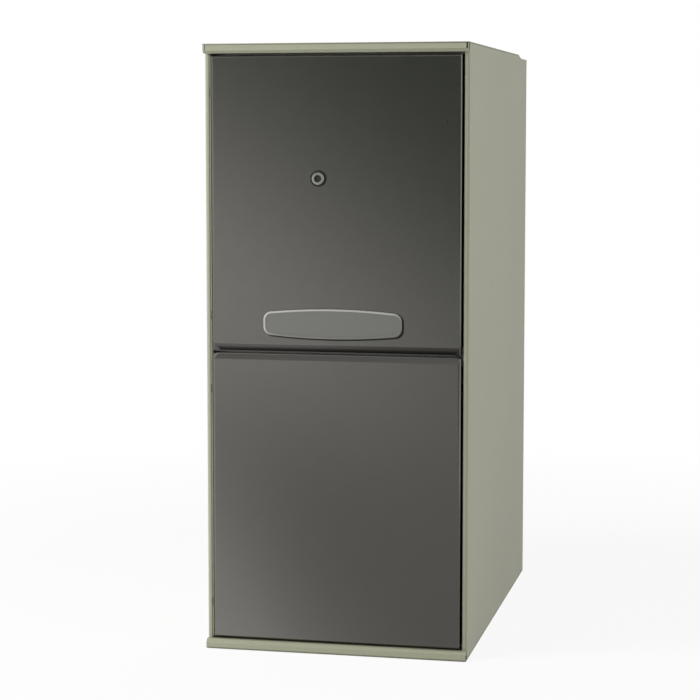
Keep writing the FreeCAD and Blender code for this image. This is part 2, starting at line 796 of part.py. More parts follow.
def back_panel():
    """Flat back inside the rear flanges of the side walls."""
    half = inner_half - BEND
    return box((-half, half), (back_inner, back_face - SHEET), (0, CABINET_HEIGHT - NOTCH_DROP))


def base_pan():
    """Floor tray with the flanged return-air opening."""
    pan = tray((-inner_half, inner_half), (rail_leg_end, back_inner), 0, BASE_RIM)
    opening_half = half_width - RETURN_SIDE_MARGIN
    opening_y = (rail_leg_end + RETURN_FRONT_MARGIN, back_inner - RETURN_REAR_MARGIN)
    return flanged_opening(pan, (-opening_half, opening_half), opening_y, 0, RETURN_FLANGE)


def top_panel():
    """Recessed top tray with the flanged supply-air opening and two pipe holes."""
    bottom = top_deck - SHEET
    panel = tray((-inner_half, inner_half), (rail_leg_end, back_inner), bottom, SHEET + TOP_RIM)
    opening_half = half_width - SUPPLY_SIDE_MARGIN
    opening_y = (vestibule_back + SUPPLY_FRONT_MARGIN, back_inner - SUPPLY_REAR_MARGIN)
    panel = flanged_opening(panel, (-opening_half, opening_half), opening_y, bottom, SUPPLY_FLANGE)
    for x in (-vent_x, vent_x):
        panel = panel.cut(rod((x, vent_y, bottom - OVERRUN), Z_AXIS, 2 * OVERRUN, collar_outer + FIT))
    return panel


def notched_rail(points):
    """Front rail from its profile: full width in front of the side walls, between them behind."""
    rail = bent_sheet(side(-half_width), points, X_AXIS * CABINET_WIDTH)
    behind = (panel_front, rail_leg_end + OVERRUN)
    heights = (-OVERRUN, CABINET_HEIGHT + OVERRUN)
    for start in (-half_width - OVERRUN, inner_half):
        rail = rail.cut(box((start, start + SHEET + OVERRUN), behind, heights))
    return rail


def top_rail():
    """Channel across the top of the front, bevelled towards the door, with a slit at each end."""
    low = CABINET_HEIGHT - TOP_RAIL_HEIGHT
    rail = notched_rail([
        (rail_leg_end, CABINET_HEIGHT),
        (rail_face, CABINET_HEIGHT),
        (rail_face, low + RAIL_BEVEL),
        (rail_face + RAIL_BEVEL, low),
        (rail_leg_end, low),
    ])
    depth, heights = (rail_face - OVERRUN, panel_front), (low + RAIL_BEVEL, CABINET_HEIGHT - SHEET)
    for near in (RAIL_SLIT_EDGE - half_width, half_width - RAIL_SLIT_EDGE - RAIL_SLIT_WIDTH):
        rail = rail.cut(box((near, near + RAIL_SLIT_WIDTH), depth, heights))
    return rail


def bottom_rail():
    """Channel across the foot of the front, bevelled towards the door."""
    return notched_rail([
        (rail_leg_end, BOTTOM_RAIL_HEIGHT),
        (rail_face + RAIL_BEVEL, BOTTOM_RAIL_HEIGHT),
        (rail_face, BOTTOM_RAIL_HEIGHT - RAIL_BEVEL),
        (rail_face, 0),
        (rail_leg_end, 0),
    ])


def middle_rail():
    """Channel between the posts behind the gap of the two doors."""
    high, low = (deck_top + sign * MIDDLE_RAIL_HEIGHT / 2 for sign in (1, -1))
    leg_end = middle_rail_face + MIDDLE_RAIL_LEG
    points = [(leg_end, high), (middle_rail_face, high), (middle_rail_face, low), (leg_end, low)]
    return bent_sheet(side(-post_inner), points, X_AXIS * 2 * post_inner)


def blower_deck():
    """Level wall between the blower and the heat exchanger, with the blower outlet."""
    start = middle_rail_face + SHEET
    points = [
        (inner_half, deck_top - DECK_FLANGE),
        (inner_half, deck_top),
        (-inner_half, deck_top),
        (-inner_half, deck_top - DECK_FLANGE),
    ]
    deck = bent_sheet(front(start), points, Y_AXIS * (back_inner - start))
    post_end = panel_front + POST_RETURN + FIT
    heights = (deck_top - DECK_FLANGE - OVERRUN, deck_top + OVERRUN)
    for limits in ((post_inner - FIT, inner_half + OVERRUN), (-inner_half - OVERRUN, FIT - post_inner)):
        deck = deck.cut(box(limits, (start - OVERRUN, post_end), heights))
    outlet_half = BLOWER_HALF_WIDTH - SHEET
    outlet_y = (blower_y + BLOWER_NECK + SHEET, blower_y + blower_right - SHEET)
    return deck.cut(box((-outlet_half, outlet_half), outlet_y, heights))


def vestibule_panel():
    """Upright wall between the burners and the heat exchanger."""
    points = [
        (inner_half, vestibule_front - VESTIBULE_FLANGE),
        (inner_half, vestibule_back),
        (-inner_half, vestibule_back),
        (-inner_half, vestibule_front - VESTIBULE_FLANGE),
    ]
    wall = bent_sheet(plan(deck_top), points, Z_AXIS * (top_deck - SHEET - deck_top))
    through = (vestibule_front - OVERRUN, vestibule_back + OVERRUN)
    for x in tube_xs:
        start = (x, through[0], first_pass)
        wall = wall.cut(rod(start, Y_AXIS, through[1] - through[0], TUBE_RADIUS + FIT))
    port_half = collector_half - COLLECTOR_ROUND
    port_z = (coil_bottom + COIL_END_PLATE, coil_top - COIL_END_PLATE)
    return wall.cut(box((-port_half, port_half), through, port_z))


def wall_insulation():
    """Foil-faced boards on the two side walls and the back of the heat exchanger section."""
    heights = (deck_top, top_deck - SHEET)
    boards = [
        box(limits, (vestibule_back, back_inner), heights)
        for limits in ((liner_wall, inner_half), (-inner_half, -liner_wall))
    ]
    boards.append(box((-liner_wall, liner_wall), (liner_back, back_inner), heights))
    return Part.makeCompound(boards)


def heat_exchanger_tube(x):
    """Serpentine tube of three passes from the burner to the coupling box."""
    mouth = vestibule_front - TUBE_LIP
    curve = pass_pitch / 2
    route = [
        (x, mouth, first_pass),
        (x, rear_bend + curve, first_pass),
        (x, rear_bend + curve, second_pass),
        (x, front_bend - curve, second_pass),
        (x, front_bend - curve, third_pass),
        (x, coupling_front, third_pass),
    ]
    lip = rod((x, mouth, first_pass), Y_AXIS, TUBE_LIP, TUBE_RADIUS + TUBE_LIP)
    return serpentine(route, curve, TUBE_RADIUS).fuse(lip).cut(serpentine(route, curve, tube_bore))


def serpentine(route, curve, radius):
    """Round bar through a route whose pairs of corners make half-circle bends."""
    stops = [FreeCAD.Vector(*point) for point in route]
    rear = FreeCAD.Vector(0, curve, 0)
    drop = FreeCAD.Vector(0, 0, -curve)
    edges = [
        Part.LineSegment(stops[0], stops[1] - rear).toShape(),
        Part.Arc(stops[1] - rear, stops[1] + drop, stops[2] - rear).toShape(),
        Part.LineSegment(stops[2] - rear, stops[3] + rear).toShape(),
        Part.Arc(stops[3] + rear, stops[3] + drop, stops[4] + rear).toShape(),
        Part.LineSegment(stops[4] + rear, stops[5]).toShape(),
    ]
    section = Part.Wire(Part.Circle(stops[0], Y_AXIS, radius).toShape())
    return Part.Wire(edges).makePipeShell([section], True, False)


def heat_exchanger_tubes():
    """The bank of serpentine tubes."""
    return Part.makeCompound([heat_exchanger_tube(x) for x in tube_xs])


def coupling_box():
    """Rear box that takes the flue gas from the tubes down to the condensing coil."""
    half = tube_xs[-1] + TUBE_RADIUS + COUPLING_MARGIN
    heights = (coil_bottom, third_pass + TUBE_RADIUS + COUPLING_MARGIN)
    body = box((-half, half), (coupling_front, coupling_front + COUPLING_DEPTH), heights)
    rear = coupling_front + COUPLING_DEPTH - FIT
    rear_edges = [edge for edge in body.Edges if edge.CenterOfGravity.y > rear]
    body = body.makeFillet(COUPLING_ROUND, rear_edges)
    flange_x = (-half - COUPLING_FLANGE, half + COUPLING_FLANGE)
    flange_z = (heights[0], heights[1] + COUPLING_FLANGE)
    body = body.fuse(box(flange_x, (coupling_front, coupling_front + SHEET), flange_z))
    rear_round = COUPLING_ROUND + SHEET
    hollow = box(
        (SHEET - half, half - SHEET),
        (coupling_front + SHEET, coupling_front + COUPLING_DEPTH - rear_round),
        (heights[0] + SHEET, heights[1] - SHEET),
    )
    for x in tube_xs:
        start = (x, coupling_front - OVERRUN, third_pass)
        hollow = hollow.fuse(rod(start, Y_AXIS, 2 * OVERRUN, tube_bore))
    return body.cut(hollow).removeSplitter()


def condensing_coil():
    """Finned secondary coil: upright fins on a spine, between two end plates."""
    length = coupling_front - vestibule_back
    spine = about((coil_bottom + coil_top) / 2, COIL_SPINE)
    half = (-coil_half, coil_half)
    plates = [
        box(half, (y, y + COIL_END_PLATE), (coil_bottom, coil_top))
        for y in (vestibule_back, coupling_front - COIL_END_PLATE)
    ]
    inside = length - 2 * COIL_END_PLATE
    count = int(inside / FIN_PITCH) - 1
    pitch = inside / (count + 1)
    for index in range(count):
        y = about(vestibule_back + COIL_END_PLATE + (index + 1) * pitch, FIN_THICKNESS)
        plates.append(box(half, y, (coil_bottom, coil_top)))
    core = box(half, (vestibule_back, coupling_front), spine)
    return core.fuse(plates).removeSplitter()


def collector_box():
    """Moulded front header of the coil, with ribs, a flange and the drain nipple."""
    half = collector_half
    body = box((-half, half), (collector_front, vestibule_front), (collector_bottom, collector_top))
    body = body.makeFillet(
        COLLECTOR_ROUND,
        [edge for edge in body.Edges if edge.CenterOfGravity.y < collector_front + FIT],
    )
    rim = COLLECTOR_FLANGE
    flange_y = (vestibule_front - COLLECTOR_FLANGE_THICKNESS, vestibule_front)
    flange_z = (collector_bottom, collector_top + rim)
    body = body.fuse(box((-half - rim, half + rim), flange_y, flange_z))
    rib_z = (collector_bottom + COLLECTOR_RIB_MARGIN, collector_top - COLLECTOR_RIB_MARGIN)
    rib_y = (collector_front - COLLECTOR_RIB_PROUD, collector_front + COLLECTOR_RIB_PROUD)
    for index in range(COLLECTOR_RIB_COUNT):
        x = COLLECTOR_RIB_MARGIN + COLLECTOR_RIB_PITCH * index - half
        body = body.fuse(box((x, x + COLLECTOR_RIB_WIDTH), rib_y, rib_z))
    nipple = (trap_right, trap_y, deck_top + NIPPLE_HEIGHT)
    body = body.fuse(rod(nipple, X_AXIS, TRAP_GAP + COLLECTOR_ROUND, NIPPLE_RADIUS))
    wall = COLLECTOR_WALL
    hollow = box(
        (wall - half, half - wall),
        (collector_front + COLLECTOR_ROUND, vestibule_front + OVERRUN),
        (collector_bottom + wall, collector_top - wall),
    )
    eye = (inducer_x, collector_front - OVERRUN, inducer_z)
    inlet = rod(eye, Y_AXIS, COLLECTOR_DEPTH, INDUCER_INLET_RADIUS)
    return body.cut(hollow).cut(inlet).removeSplitter()


def condensate_trap():
    """Moulded trap on the blower deck with two cleaning caps and the drain outlet."""
    x = (trap_left, trap_right)
    body = box(x, about(trap_y, TRAP_DEPTH), (deck_top, deck_top + TRAP_HEIGHT))
    body = body.makeFillet(TRAP_ROUND, edges_along(body, Z_AXIS, lambda point: True))
    for share in TRAP_CAP_SHARES:
        base = (trap_left + TRAP_WIDTH * share, trap_y, deck_top + TRAP_HEIGHT)
        body = body.fuse(rod(base, Z_AXIS, TRAP_CAP_HEIGHT, TRAP_CAP_RADIUS))
    outlet_end = (DRAIN_WALL_GAP - inner_half, trap_y, drain_z)
    outlet = rod(outlet_end, X_AXIS, trap_left - outlet_end[0] + TRAP_ROUND, DRAIN_RADIUS)
    bore = rod(outlet_end, X_AXIS, DRAIN_BORE_DEPTH, DRAIN_BORE)
    return body.fuse(outlet).cut(bore).removeSplitter()


def burner(x):
    """In-shot burner turned from its bell, throat and flame head."""
    radii = (
        BURNER_BELL_RADIUS, BURNER_THROAT_RADIUS, BURNER_THROAT_RADIUS,
        BURNER_HEAD_RADIUS, BURNER_HEAD_RADIUS,
    )
    stations = [share * BURNER_LENGTH for share in BURNER_STATION_SHARES]
    outer = list(zip(radii, stations))
    inner = [(radius - BURNER_WALL, along) for radius, along in outer]
    return turned((x, burner_bell, first_pass), Y_AXIS, outer + inner[::-1])


def burners():
    """The row of burners, one in front of each tube."""
    return Part.makeCompound([burner(x) for x in tube_xs])


def burner_hood():
    """Folded hood over the burners that also carries the manifold in its slots."""
    points = [
        (hood_half, first_pass - HOOD_DROP),
        (hood_half, hood_top),
        (-hood_half, hood_top),
        (-hood_half, first_pass - HOOD_DROP),
    ]
    hood = bent_sheet(front(hood_front), points, Y_AXIS * (vestibule_front - hood_front))
    across = 2 * (hood_half + OVERRUN)
    start_x = -hood_half - OVERRUN
    slot = MANIFOLD_RADIUS + FIT
    hood = hood.cut(rod((start_x, manifold_y, first_pass), X_AXIS, across, slot))
    slot_y = (hood_front - OVERRUN, manifold_y)
    hood = hood.cut(box((start_x, start_x + across), slot_y, about(first_pass, 2 * slot)))
    probe = (start_x, vestibule_front - PROBE_SETBACK, first_pass)
    return hood.cut(rod(probe, X_AXIS, across, PROBE_HOLE_RADIUS))


def burner_rack():
    """Upright plate that holds the burners by their throats."""
    half = hood_half - SHEET
    y = burner_bell + RACK_STATION_SHARE * BURNER_LENGTH
    rack = box((-half, half), about(y, SHEET), (first_pass - RACK_DROP, hood_top - SHEET))
    corners = edges_along(rack, Y_AXIS, lambda point: point.z > first_pass)
    rack = rack.makeFillet(BEND + FIT, corners)
    for x in tube_xs:
        start = (x, y - OVERRUN, first_pass)
        rack = rack.cut(rod(start, Y_AXIS, 2 * OVERRUN, BURNER_THROAT_RADIUS + FIT))
    return rack


def gas_manifold():
    """Gas pipe from the valve across the burners, with a boss for each orifice."""
    route = [
        (hood_half + MANIFOLD_END, manifold_y, first_pass),
        (valve_x, manifold_y, first_pass),
        (valve_x, manifold_y, valve_top + GAS_COLLAR),
    ]
    pipe = swept(route, MANIFOLD_RADIUS, [MANIFOLD_BEND])
    bosses = [
        rod((x, manifold_y, first_pass), Y_AXIS, MANIFOLD_RADIUS + MANIFOLD_BOSS, MANIFOLD_BOSS_RADIUS)
        for x in tube_xs
    ]
    return pipe.fuse(bosses).removeSplitter()


def gas_orifices():
    """Brass orifices that point into the burner bells."""
    shoulder = ORIFICE_LENGTH - ORIFICE_TIP
    outline = [
        (0, 0),
        (ORIFICE_RADIUS, 0),
        (ORIFICE_RADIUS, shoulder),
        (ORIFICE_TIP_RADIUS, ORIFICE_LENGTH),
        (0, ORIFICE_LENGTH),
    ]
    return Part.makeCompound([turned((x, orifice_base, first_pass), Y_AXIS, outline) for x in tube_xs])


def gas_valve():
    """Cast valve body with outlet collar, inlet boss, regulator tower and the bore of its knob."""
    half = GAS_VALVE_DEPTH / 2
    depths = (valve_face, manifold_y + half)
    body = box(about(valve_x, GAS_VALVE_WIDTH), depths, (valve_bottom, valve_top))
    body = body.makeFillet(GAS_VALVE_ROUND, body.Edges)
    middle = (valve_x, manifold_y, valve_middle)
    collar = rod(middle, Z_AXIS, valve_top + GAS_COLLAR - valve_middle, GAS_COLLAR_RADIUS)
    inlet_end = (valve_x - GAS_VALVE_WIDTH / 2 - GAS_INLET_BOSS, manifold_y, valve_middle)
    boss = rod(inlet_end, X_AXIS, GAS_VALVE_WIDTH / 2, GAS_INLET_BOSS_RADIUS)
    tower_end = (
        valve_x + GAS_REGULATOR_X,
        valve_face - GAS_REGULATOR,
        valve_middle + GAS_REGULATOR_RISE,
    )
    tower = rod(tower_end, Y_AXIS, GAS_REGULATOR + half, GAS_REGULATOR_RADIUS)
    body = body.fuse([collar, boss, tower]).removeSplitter()
    inlet = rod(inlet_end, X_AXIS, GAS_INLET_DEPTH, GAS_INLET_BORE)
    stem_radius = KNOB_STEM_RADIUS + RUNNING_FIT
    stem_bore = rod((knob_x, valve_face, knob_z), Y_AXIS, KNOB_STEM + END_PLAY, stem_radius)
    return body.cut(inlet).cut(stem_bore)


def gas_valve_knob():
    """Round on-off knob with a grip bar and the stem that turns in the valve."""
    back = valve_face - KNOB_GAP
    disc = rod((knob_x, back - KNOB_THICKNESS, knob_z), Y_AXIS, KNOB_THICKNESS, KNOB_RADIUS)
    grip_y = (back - KNOB_THICKNESS - KNOB_GRIP, back)
    grip = box(about(knob_x, KNOB_GRIP_WIDTH), grip_y, about(knob_z, KNOB_GRIP_LENGTH))
    grip = grip.makeFillet(KNOB_GRIP_WIDTH / 3, edges_along(grip, Y_AXIS, lambda point: True))
    stem = rod((knob_x, back, knob_z), Y_AXIS, KNOB_STEM, KNOB_STEM_RADIUS)
    return disc.fuse([grip, stem]).removeSplitter()


def probe_block(sign):
    """Ceramic block on the outside of one hood wing, as its solid and its inner face."""
    face = sign * hood_half
    limits = sorted((face, face + sign * PROBE_BLOCK_LENGTH))
    middle_y = vestibule_front - PROBE_SETBACK
    size = PROBE_BLOCK_SIZE
    return box(limits, about(middle_y, size), about(first_pass, size)), face


def igniter():
    """Hot-surface igniter: ceramic block with a flat blade in the flame path."""
    block, face = probe_block(1)
    middle_y = vestibule_front - PROBE_SETBACK
    blade_x = (face - PROBE_REACH, face + PROBE_REACH / 2)
    blade_y = about(middle_y, IGNITER_BLADE_THICKNESS)
    blade_bar = box(blade_x, blade_y, about(first_pass, IGNITER_BLADE_WIDTH))
    return block.fuse(blade_bar).removeSplitter()


def flame_sensor():
    """Flame sensor: ceramic block with a thin rod in the flame path."""
    block, face = probe_block(-1)
    start = (face - PROBE_REACH / 2, vestibule_front - PROBE_SETBACK, first_pass)
    return block.fuse(rod(start, X_AXIS, PROBE_REACH * 3 / 2, SENSOR_ROD_RADIUS)).removeSplitter()


def rollout_places():
    """Centres of the two roll-out switches on the hood."""
    return [(sign * tube_pitch, vestibule_front - ROLLOUT_SETBACK) for sign in (-1, 1)]


def rollout_switches():
    """Manual-reset temperature switches on the burner hood."""
    switches = []
    body_top = hood_top + ROLLOUT_PLATE + ROLLOUT_BODY
    plate_z = (hood_top, hood_top + ROLLOUT_PLATE)
    for x, y in rollout_places():
        plate = box(about(x, ROLLOUT_PLATE_LENGTH), about(y, ROLLOUT_PLATE_WIDTH), plate_z)
        can = rod((x, y, hood_top), Z_AXIS, ROLLOUT_PLATE + ROLLOUT_BODY, ROLLOUT_BODY_RADIUS)
        neck = rod((x, y, body_top), Z_AXIS, ROLLOUT_NECK, ROLLOUT_NECK_RADIUS)
        depth = RESET_LENGTH - RESET_PROUD + RESET_TRAVEL
        bore = rod((x, y, body_top + ROLLOUT_NECK - depth), Z_AXIS, depth, RESET_RADIUS + RUNNING_FIT)
        switches.append(plate.fuse([can, neck]).cut(bore).removeSplitter())
    return Part.makeCompound(switches)


def reset_button(index):
    """Push button of one roll-out switch."""
    x, y = rollout_places()[index]
    top = hood_top + ROLLOUT_PLATE + ROLLOUT_BODY + ROLLOUT_NECK + RESET_PROUD
    button = rod((x, y, top - RESET_LENGTH), Z_AXIS, RESET_LENGTH, RESET_RADIUS)
    crown = [edge for edge in button.Edges if edge.CenterOfGravity.z > top - FIT]
    return button.makeFillet(RESET_RADIUS / 3, crown)


def limit_switch():
    """High-limit switch on the vestibule wall."""
    plate_y = (vestibule_front - LIMIT_PLATE, vestibule_front)
    plate = box(about(limit_x, LIMIT_PLATE_WIDTH), plate_y, about(limit_z, LIMIT_PLATE_HEIGHT))
    plate = plate.makeFillet(LIMIT_BODY_RADIUS / 2, edges_along(plate, Y_AXIS, lambda point: True))
    can = rod((limit_x, vestibule_front - LIMIT_BODY, limit_z), Y_AXIS, LIMIT_BODY, LIMIT_BODY_RADIUS)
    return plate.fuse(can).removeSplitter()


def inducer_outline(y, inset, top):
    """Outline of the inducer volute at a depth."""
    centre = (inducer_x, inducer_z, 0)
    return scroll(front(y), centre, inducer_radius, INDUCER_STEP, INDUCER_NECK, top, inset)


def inducer_back_plate():
    """Plate that closes the back of the inducer, with the flue gas inlet."""
    plate = inducer_outline(inducer_back, 0, INDUCER_NECK_TOP).extrude(Y_AXIS * INDUCER_PLATE)
    start = (inducer_x, inducer_back - OVERRUN, inducer_z)
    return plate.cut(rod(start, Y_AXIS, INDUCER_PLATE + 2 * OVERRUN, INDUCER_INLET_RADIUS))


def inducer_housing():
    """Volute of the draught inducer with a round vent spigot on its neck."""
    shell = inducer_outline(inducer_front, 0, INDUCER_NECK_TOP).extrude(Y_AXIS * INDUCER_DEPTH)
    hollow_top = INDUCER_NECK_TOP - INDUCER_WALL
    hollow_start = inducer_front + INDUCER_WALL
    hollow = inducer_outline(hollow_start, INDUCER_WALL, hollow_top)
    hollow = hollow.extrude(Y_AXIS * (INDUCER_DEPTH + OVERRUN))
    shaft_start = (inducer_x, inducer_front - OVERRUN, inducer_z)
    shaft_hole = rod(shaft_start, Y_AXIS, 2 * OVERRUN, INDUCER_SHAFT_HOLE)
    spigot_start = (vent_x, vent_y, neck_top - INDUCER_WALL)
    spigot = rod(spigot_start, Z_AXIS, VENT_SPIGOT + INDUCER_WALL, VENT_RADIUS)
    way_start = (vent_x, vent_y, neck_top - OVERRUN)
    way_out = rod(way_start, Z_AXIS, VENT_SPIGOT + 2 * OVERRUN, vent_bore)
    barb_end = inducer_left_x - BARB_LENGTH
    barb = rod((barb_end, vent_y, inducer_z), X_AXIS, BARB_LENGTH + INDUCER_STEP, BARB_RADIUS)
    shell = shell.fuse([spigot, barb]).cut(hollow).cut(shaft_hole).cut(way_out)
    return shell.removeSplitter()


def inducer_wheel():
    """Backward-curved inducer wheel on its shaft."""
    disc_front = inducer_front + INDUCER_WALL + INDUCER_WHEEL_GAP
    centre = (inducer_x, inducer_z, 0)
    disc = rod((inducer_x, disc_front, inducer_z), Y_AXIS, INDUCER_DISC, INDUCER_WHEEL_RADIUS)
    hub = rod((inducer_x, disc_front, inducer_z), Y_AXIS, INDUCER_WHEEL_WIDTH / 2, INDUCER_HUB_RADIUS)
    shaft_start = inducer_front - INDUCER_SHAFT_SEAT
    shaft_length = disc_front + INDUCER_WHEEL_WIDTH / 2 - shaft_start
    shaft = rod((inducer_x, shaft_start, inducer_z), Y_AXIS, shaft_length, INDUCER_SHAFT_RADIUS)
    blades = []
    radii = (INDUCER_WHEEL_EYE, INDUCER_WHEEL_RADIUS - INDUCER_BLADE)
    for index in range(INDUCER_BLADE_COUNT):
        angle = FULL_TURN * index / INDUCER_BLADE_COUNT
        form = (INDUCER_BLADE_LEAN, INDUCER_BLADE_CAMBER, INDUCER_BLADE)
        outline = blade(front(disc_front), centre, radii, *form, angle)
        blades.append(outline.extrude(Y_AXIS * INDUCER_WHEEL_WIDTH))
    return disc.fuse([hub, shaft] + blades).removeSplitter()


def inducer_motor():
    """Inducer motor on the front of its housing, bored for the shaft."""
    seat = INDUCER_SHAFT_SEAT + END_PLAY
    bore = INDUCER_SHAFT_RADIUS + RUNNING_FIT
    end = INDUCER_MOTOR_LENGTH
    outline = [
        (0, seat),
        (bore, seat),
        (bore, 0),
        (INDUCER_MOTOR_FLANGE_RADIUS, 0),
        (INDUCER_MOTOR_FLANGE_RADIUS, INDUCER_MOTOR_FLANGE),
        (INDUCER_MOTOR_RADIUS, INDUCER_MOTOR_FLANGE),
        (INDUCER_MOTOR_RADIUS, end - INDUCER_MOTOR_NOSE - INDUCER_MOTOR_ROUND),
        (INDUCER_MOTOR_RADIUS - INDUCER_MOTOR_ROUND, end - INDUCER_MOTOR_NOSE),
        (INDUCER_MOTOR_NOSE_RADIUS, end - INDUCER_MOTOR_NOSE),
        (INDUCER_MOTOR_NOSE_RADIUS, end),
        (0, end),
    ]
    return turned((inducer_x, inducer_front, inducer_z), -Y_AXIS, outline)


def vent_boot():
    """Rubber sleeve that joins the inducer spigot to the vent pipe."""
    inner = VENT_RADIUS + FIT
    outline = [
        (inner, -BOOT_OVERLAP),
        (inner + BOOT_THICKNESS, -BOOT_OVERLAP),
        (inner + BOOT_THICKNESS, BOOT_OVERLAP),
        (inner, BOOT_OVERLAP),
    ]
    return turned((vent_x, vent_y, spigot_top), Z_AXIS, outline)


def vent_pipe():
    """Plastic vent pipe from the inducer up into its collar."""
    length = vent_pipe_top - spigot_top
    outline = [(vent_bore, 0), (VENT_RADIUS, 0), (VENT_RADIUS, length), (vent_bore, length)]
    return turned((vent_x, vent_y, spigot_top), Z_AXIS, outline)


def pipe_collars():
    """Flanged sockets in the top panel for the vent pipe and the combustion air pipe."""
    flange = collar_outer + COLLAR_FLANGE
    stop_top = COLLAR_RISE - COLLAR_SOCKET
    outline = [
        (collar_bore, -COLLAR_DROP),
        (collar_outer, -COLLAR_DROP),
        (collar_outer, 0),
        (flange, 0),
        (flange, COLLAR_FLANGE_THICKNESS),
        (collar_outer, COLLAR_FLANGE_THICKNESS),
        (collar_outer, COLLAR_RISE),
        (collar_bore, COLLAR_RISE),
        (collar_bore, stop_top),
        (vent_bore, stop_top),
        (vent_bore, stop_top - COLLAR_STOP),
        (collar_bore, stop_top - COLLAR_STOP),
    ]
    return Part.makeCompound([turned((x, vent_y, top_deck), Z_AXIS, outline) for x in (-vent_x, vent_x)])


def pressure_switch():
    """Round diaphragm switch with a clamped rim, a mounting foot and a hose barb."""
    rim_radius = SWITCH_RADIUS
    cap_radius = SWITCH_RADIUS - SWITCH_RIM_INSET
    middle = SWITCH_DEPTH / 2
    outline = [
        (0, 0),
        (cap_radius, 0),
        (cap_radius, middle - SWITCH_RIM / 2),
        (rim_radius, middle - SWITCH_RIM / 2),
        (rim_radius, middle + SWITCH_RIM / 2),
        (cap_radius, middle + SWITCH_RIM / 2),
        (cap_radius, SWITCH_DEPTH),
        (BARB_RADIUS, SWITCH_DEPTH),
        (BARB_RADIUS, SWITCH_DEPTH + BARB_LENGTH),
        (0, SWITCH_DEPTH + BARB_LENGTH),
    ]
    can = turned((SWITCH_X, vestibule_front, switch_z), -Y_AXIS, outline)
    foot = box(about(SWITCH_X, SWITCH_FOOT_LENGTH), (vestibule_front - SWITCH_FOOT, vestibule_front),
               about(switch_z, SWITCH_FOOT_WIDTH))
    return can.fuse(foot).removeSplitter()


def pressure_hose():
    """Hose from the pressure switch barb to the barb on the inducer."""
    start_y = switch_face - BARB_SHOWING
    end_x = inducer_left_x - BARB_SHOWING
    route = [
        (SWITCH_X, start_y, switch_z),
        (SWITCH_X, vent_y, switch_z),
        (SWITCH_X, vent_y, inducer_z),
        (end_x, vent_y, inducer_z),
    ]
    first, second, third = start_y - vent_y, switch_z - inducer_z, end_x - SWITCH_X
    curves = [HOSE_CURVE_SHARE * min(first, second), HOSE_CURVE_SHARE * min(second, third)]
    print("pressure hose bend radii:", [round(curve, 1) for curve in curves])
    hose = swept(route, HOSE_RADIUS, curves)
    grip = BARB_LENGTH - BARB_SHOWING
    barb = BARB_RADIUS + FIT
    hose = hose.cut(rod((SWITCH_X, start_y, switch_z), -Y_AXIS, grip, barb))
    return hose.cut(rod((end_x, vent_y, inducer_z), -X_AXIS, grip, barb))


def blower_outline(x, inset, top):
    """Outline of the blower scroll at one side."""
    centre = (blower_y, blower_z, 0)
    return scroll(side(x), centre, blower_radius, BLOWER_STEP, BLOWER_NECK, top, inset)


def bell_mouth(sign):
    """Rolled lip that leads the air into one side of the blower."""
    face = sign * BLOWER_HALF_WIDTH
    ring = BLOWER_INLET_RADIUS + BLOWER_LIP_RADIUS

    def at(depth, radius):
        return FreeCAD.Vector(face - sign * depth, blower_y, blower_z + radius)

    def quarter(reach):
        slant = reach * math.sin(math.radians(45))
        deep = BLOWER_LIP_RADIUS
        return at(deep - reach, ring), at(deep - slant, ring - slant), at(deep, ring - reach)

    outer, inner = quarter(BLOWER_LIP_RADIUS), quarter(BLOWER_LIP_RADIUS - SHEET)
    edges = [
        Part.Arc(*outer).toShape(),
        Part.LineSegment(outer[2], inner[2]).toShape(),
        Part.Arc(*inner[::-1]).toShape(),
        Part.LineSegment(inner[0], outer[0]).toShape(),
    ]
    face_shape = Part.Face(Part.Wire(edges))
    return face_shape.revolve(FreeCAD.Vector(0, blower_y, blower_z), X_AXIS, FULL_TURN)


def blower_housing():
    """Scroll of the blower with two bell-mouth inlets, hung from the deck by its flanges."""
    shell = blower_outline(-BLOWER_HALF_WIDTH, 0, BLOWER_DROP).extrude(X_AXIS * 2 * BLOWER_HALF_WIDTH)
    hollow_half = BLOWER_HALF_WIDTH - SHEET
    hollow = blower_outline(-hollow_half, SHEET, BLOWER_DROP + OVERRUN).extrude(X_AXIS * 2 * hollow_half)
    ring = BLOWER_INLET_RADIUS + BLOWER_LIP_RADIUS
    reach = BLOWER_HALF_WIDTH + OVERRUN
    eyes = rod((-reach, blower_y, blower_z), X_AXIS, 2 * reach, ring)
    shell = shell.cut(hollow).cut(eyes)
    outlet_y = (blower_y + BLOWER_NECK, blower_y + blower_right)
    flange_z = (deck_under - SHEET, deck_under)
    for sign in (-1, 1):
        limits = sorted((sign * hollow_half, sign * (BLOWER_HALF_WIDTH + BLOWER_FLANGE)))
        shell = shell.fuse([bell_mouth(sign), box(limits, outlet_y, flange_z)])
    return shell.removeSplitter()


def wheel_ring(start, thickness, inner, outer):
    """Flat ring of the blower wheel from a start along x."""
    ring = rod((start, blower_y, blower_z), X_AXIS, thickness, outer)
    return ring.cut(rod((start - OVERRUN, blower_y, blower_z), X_AXIS, thickness + 2 * OVERRUN, inner))


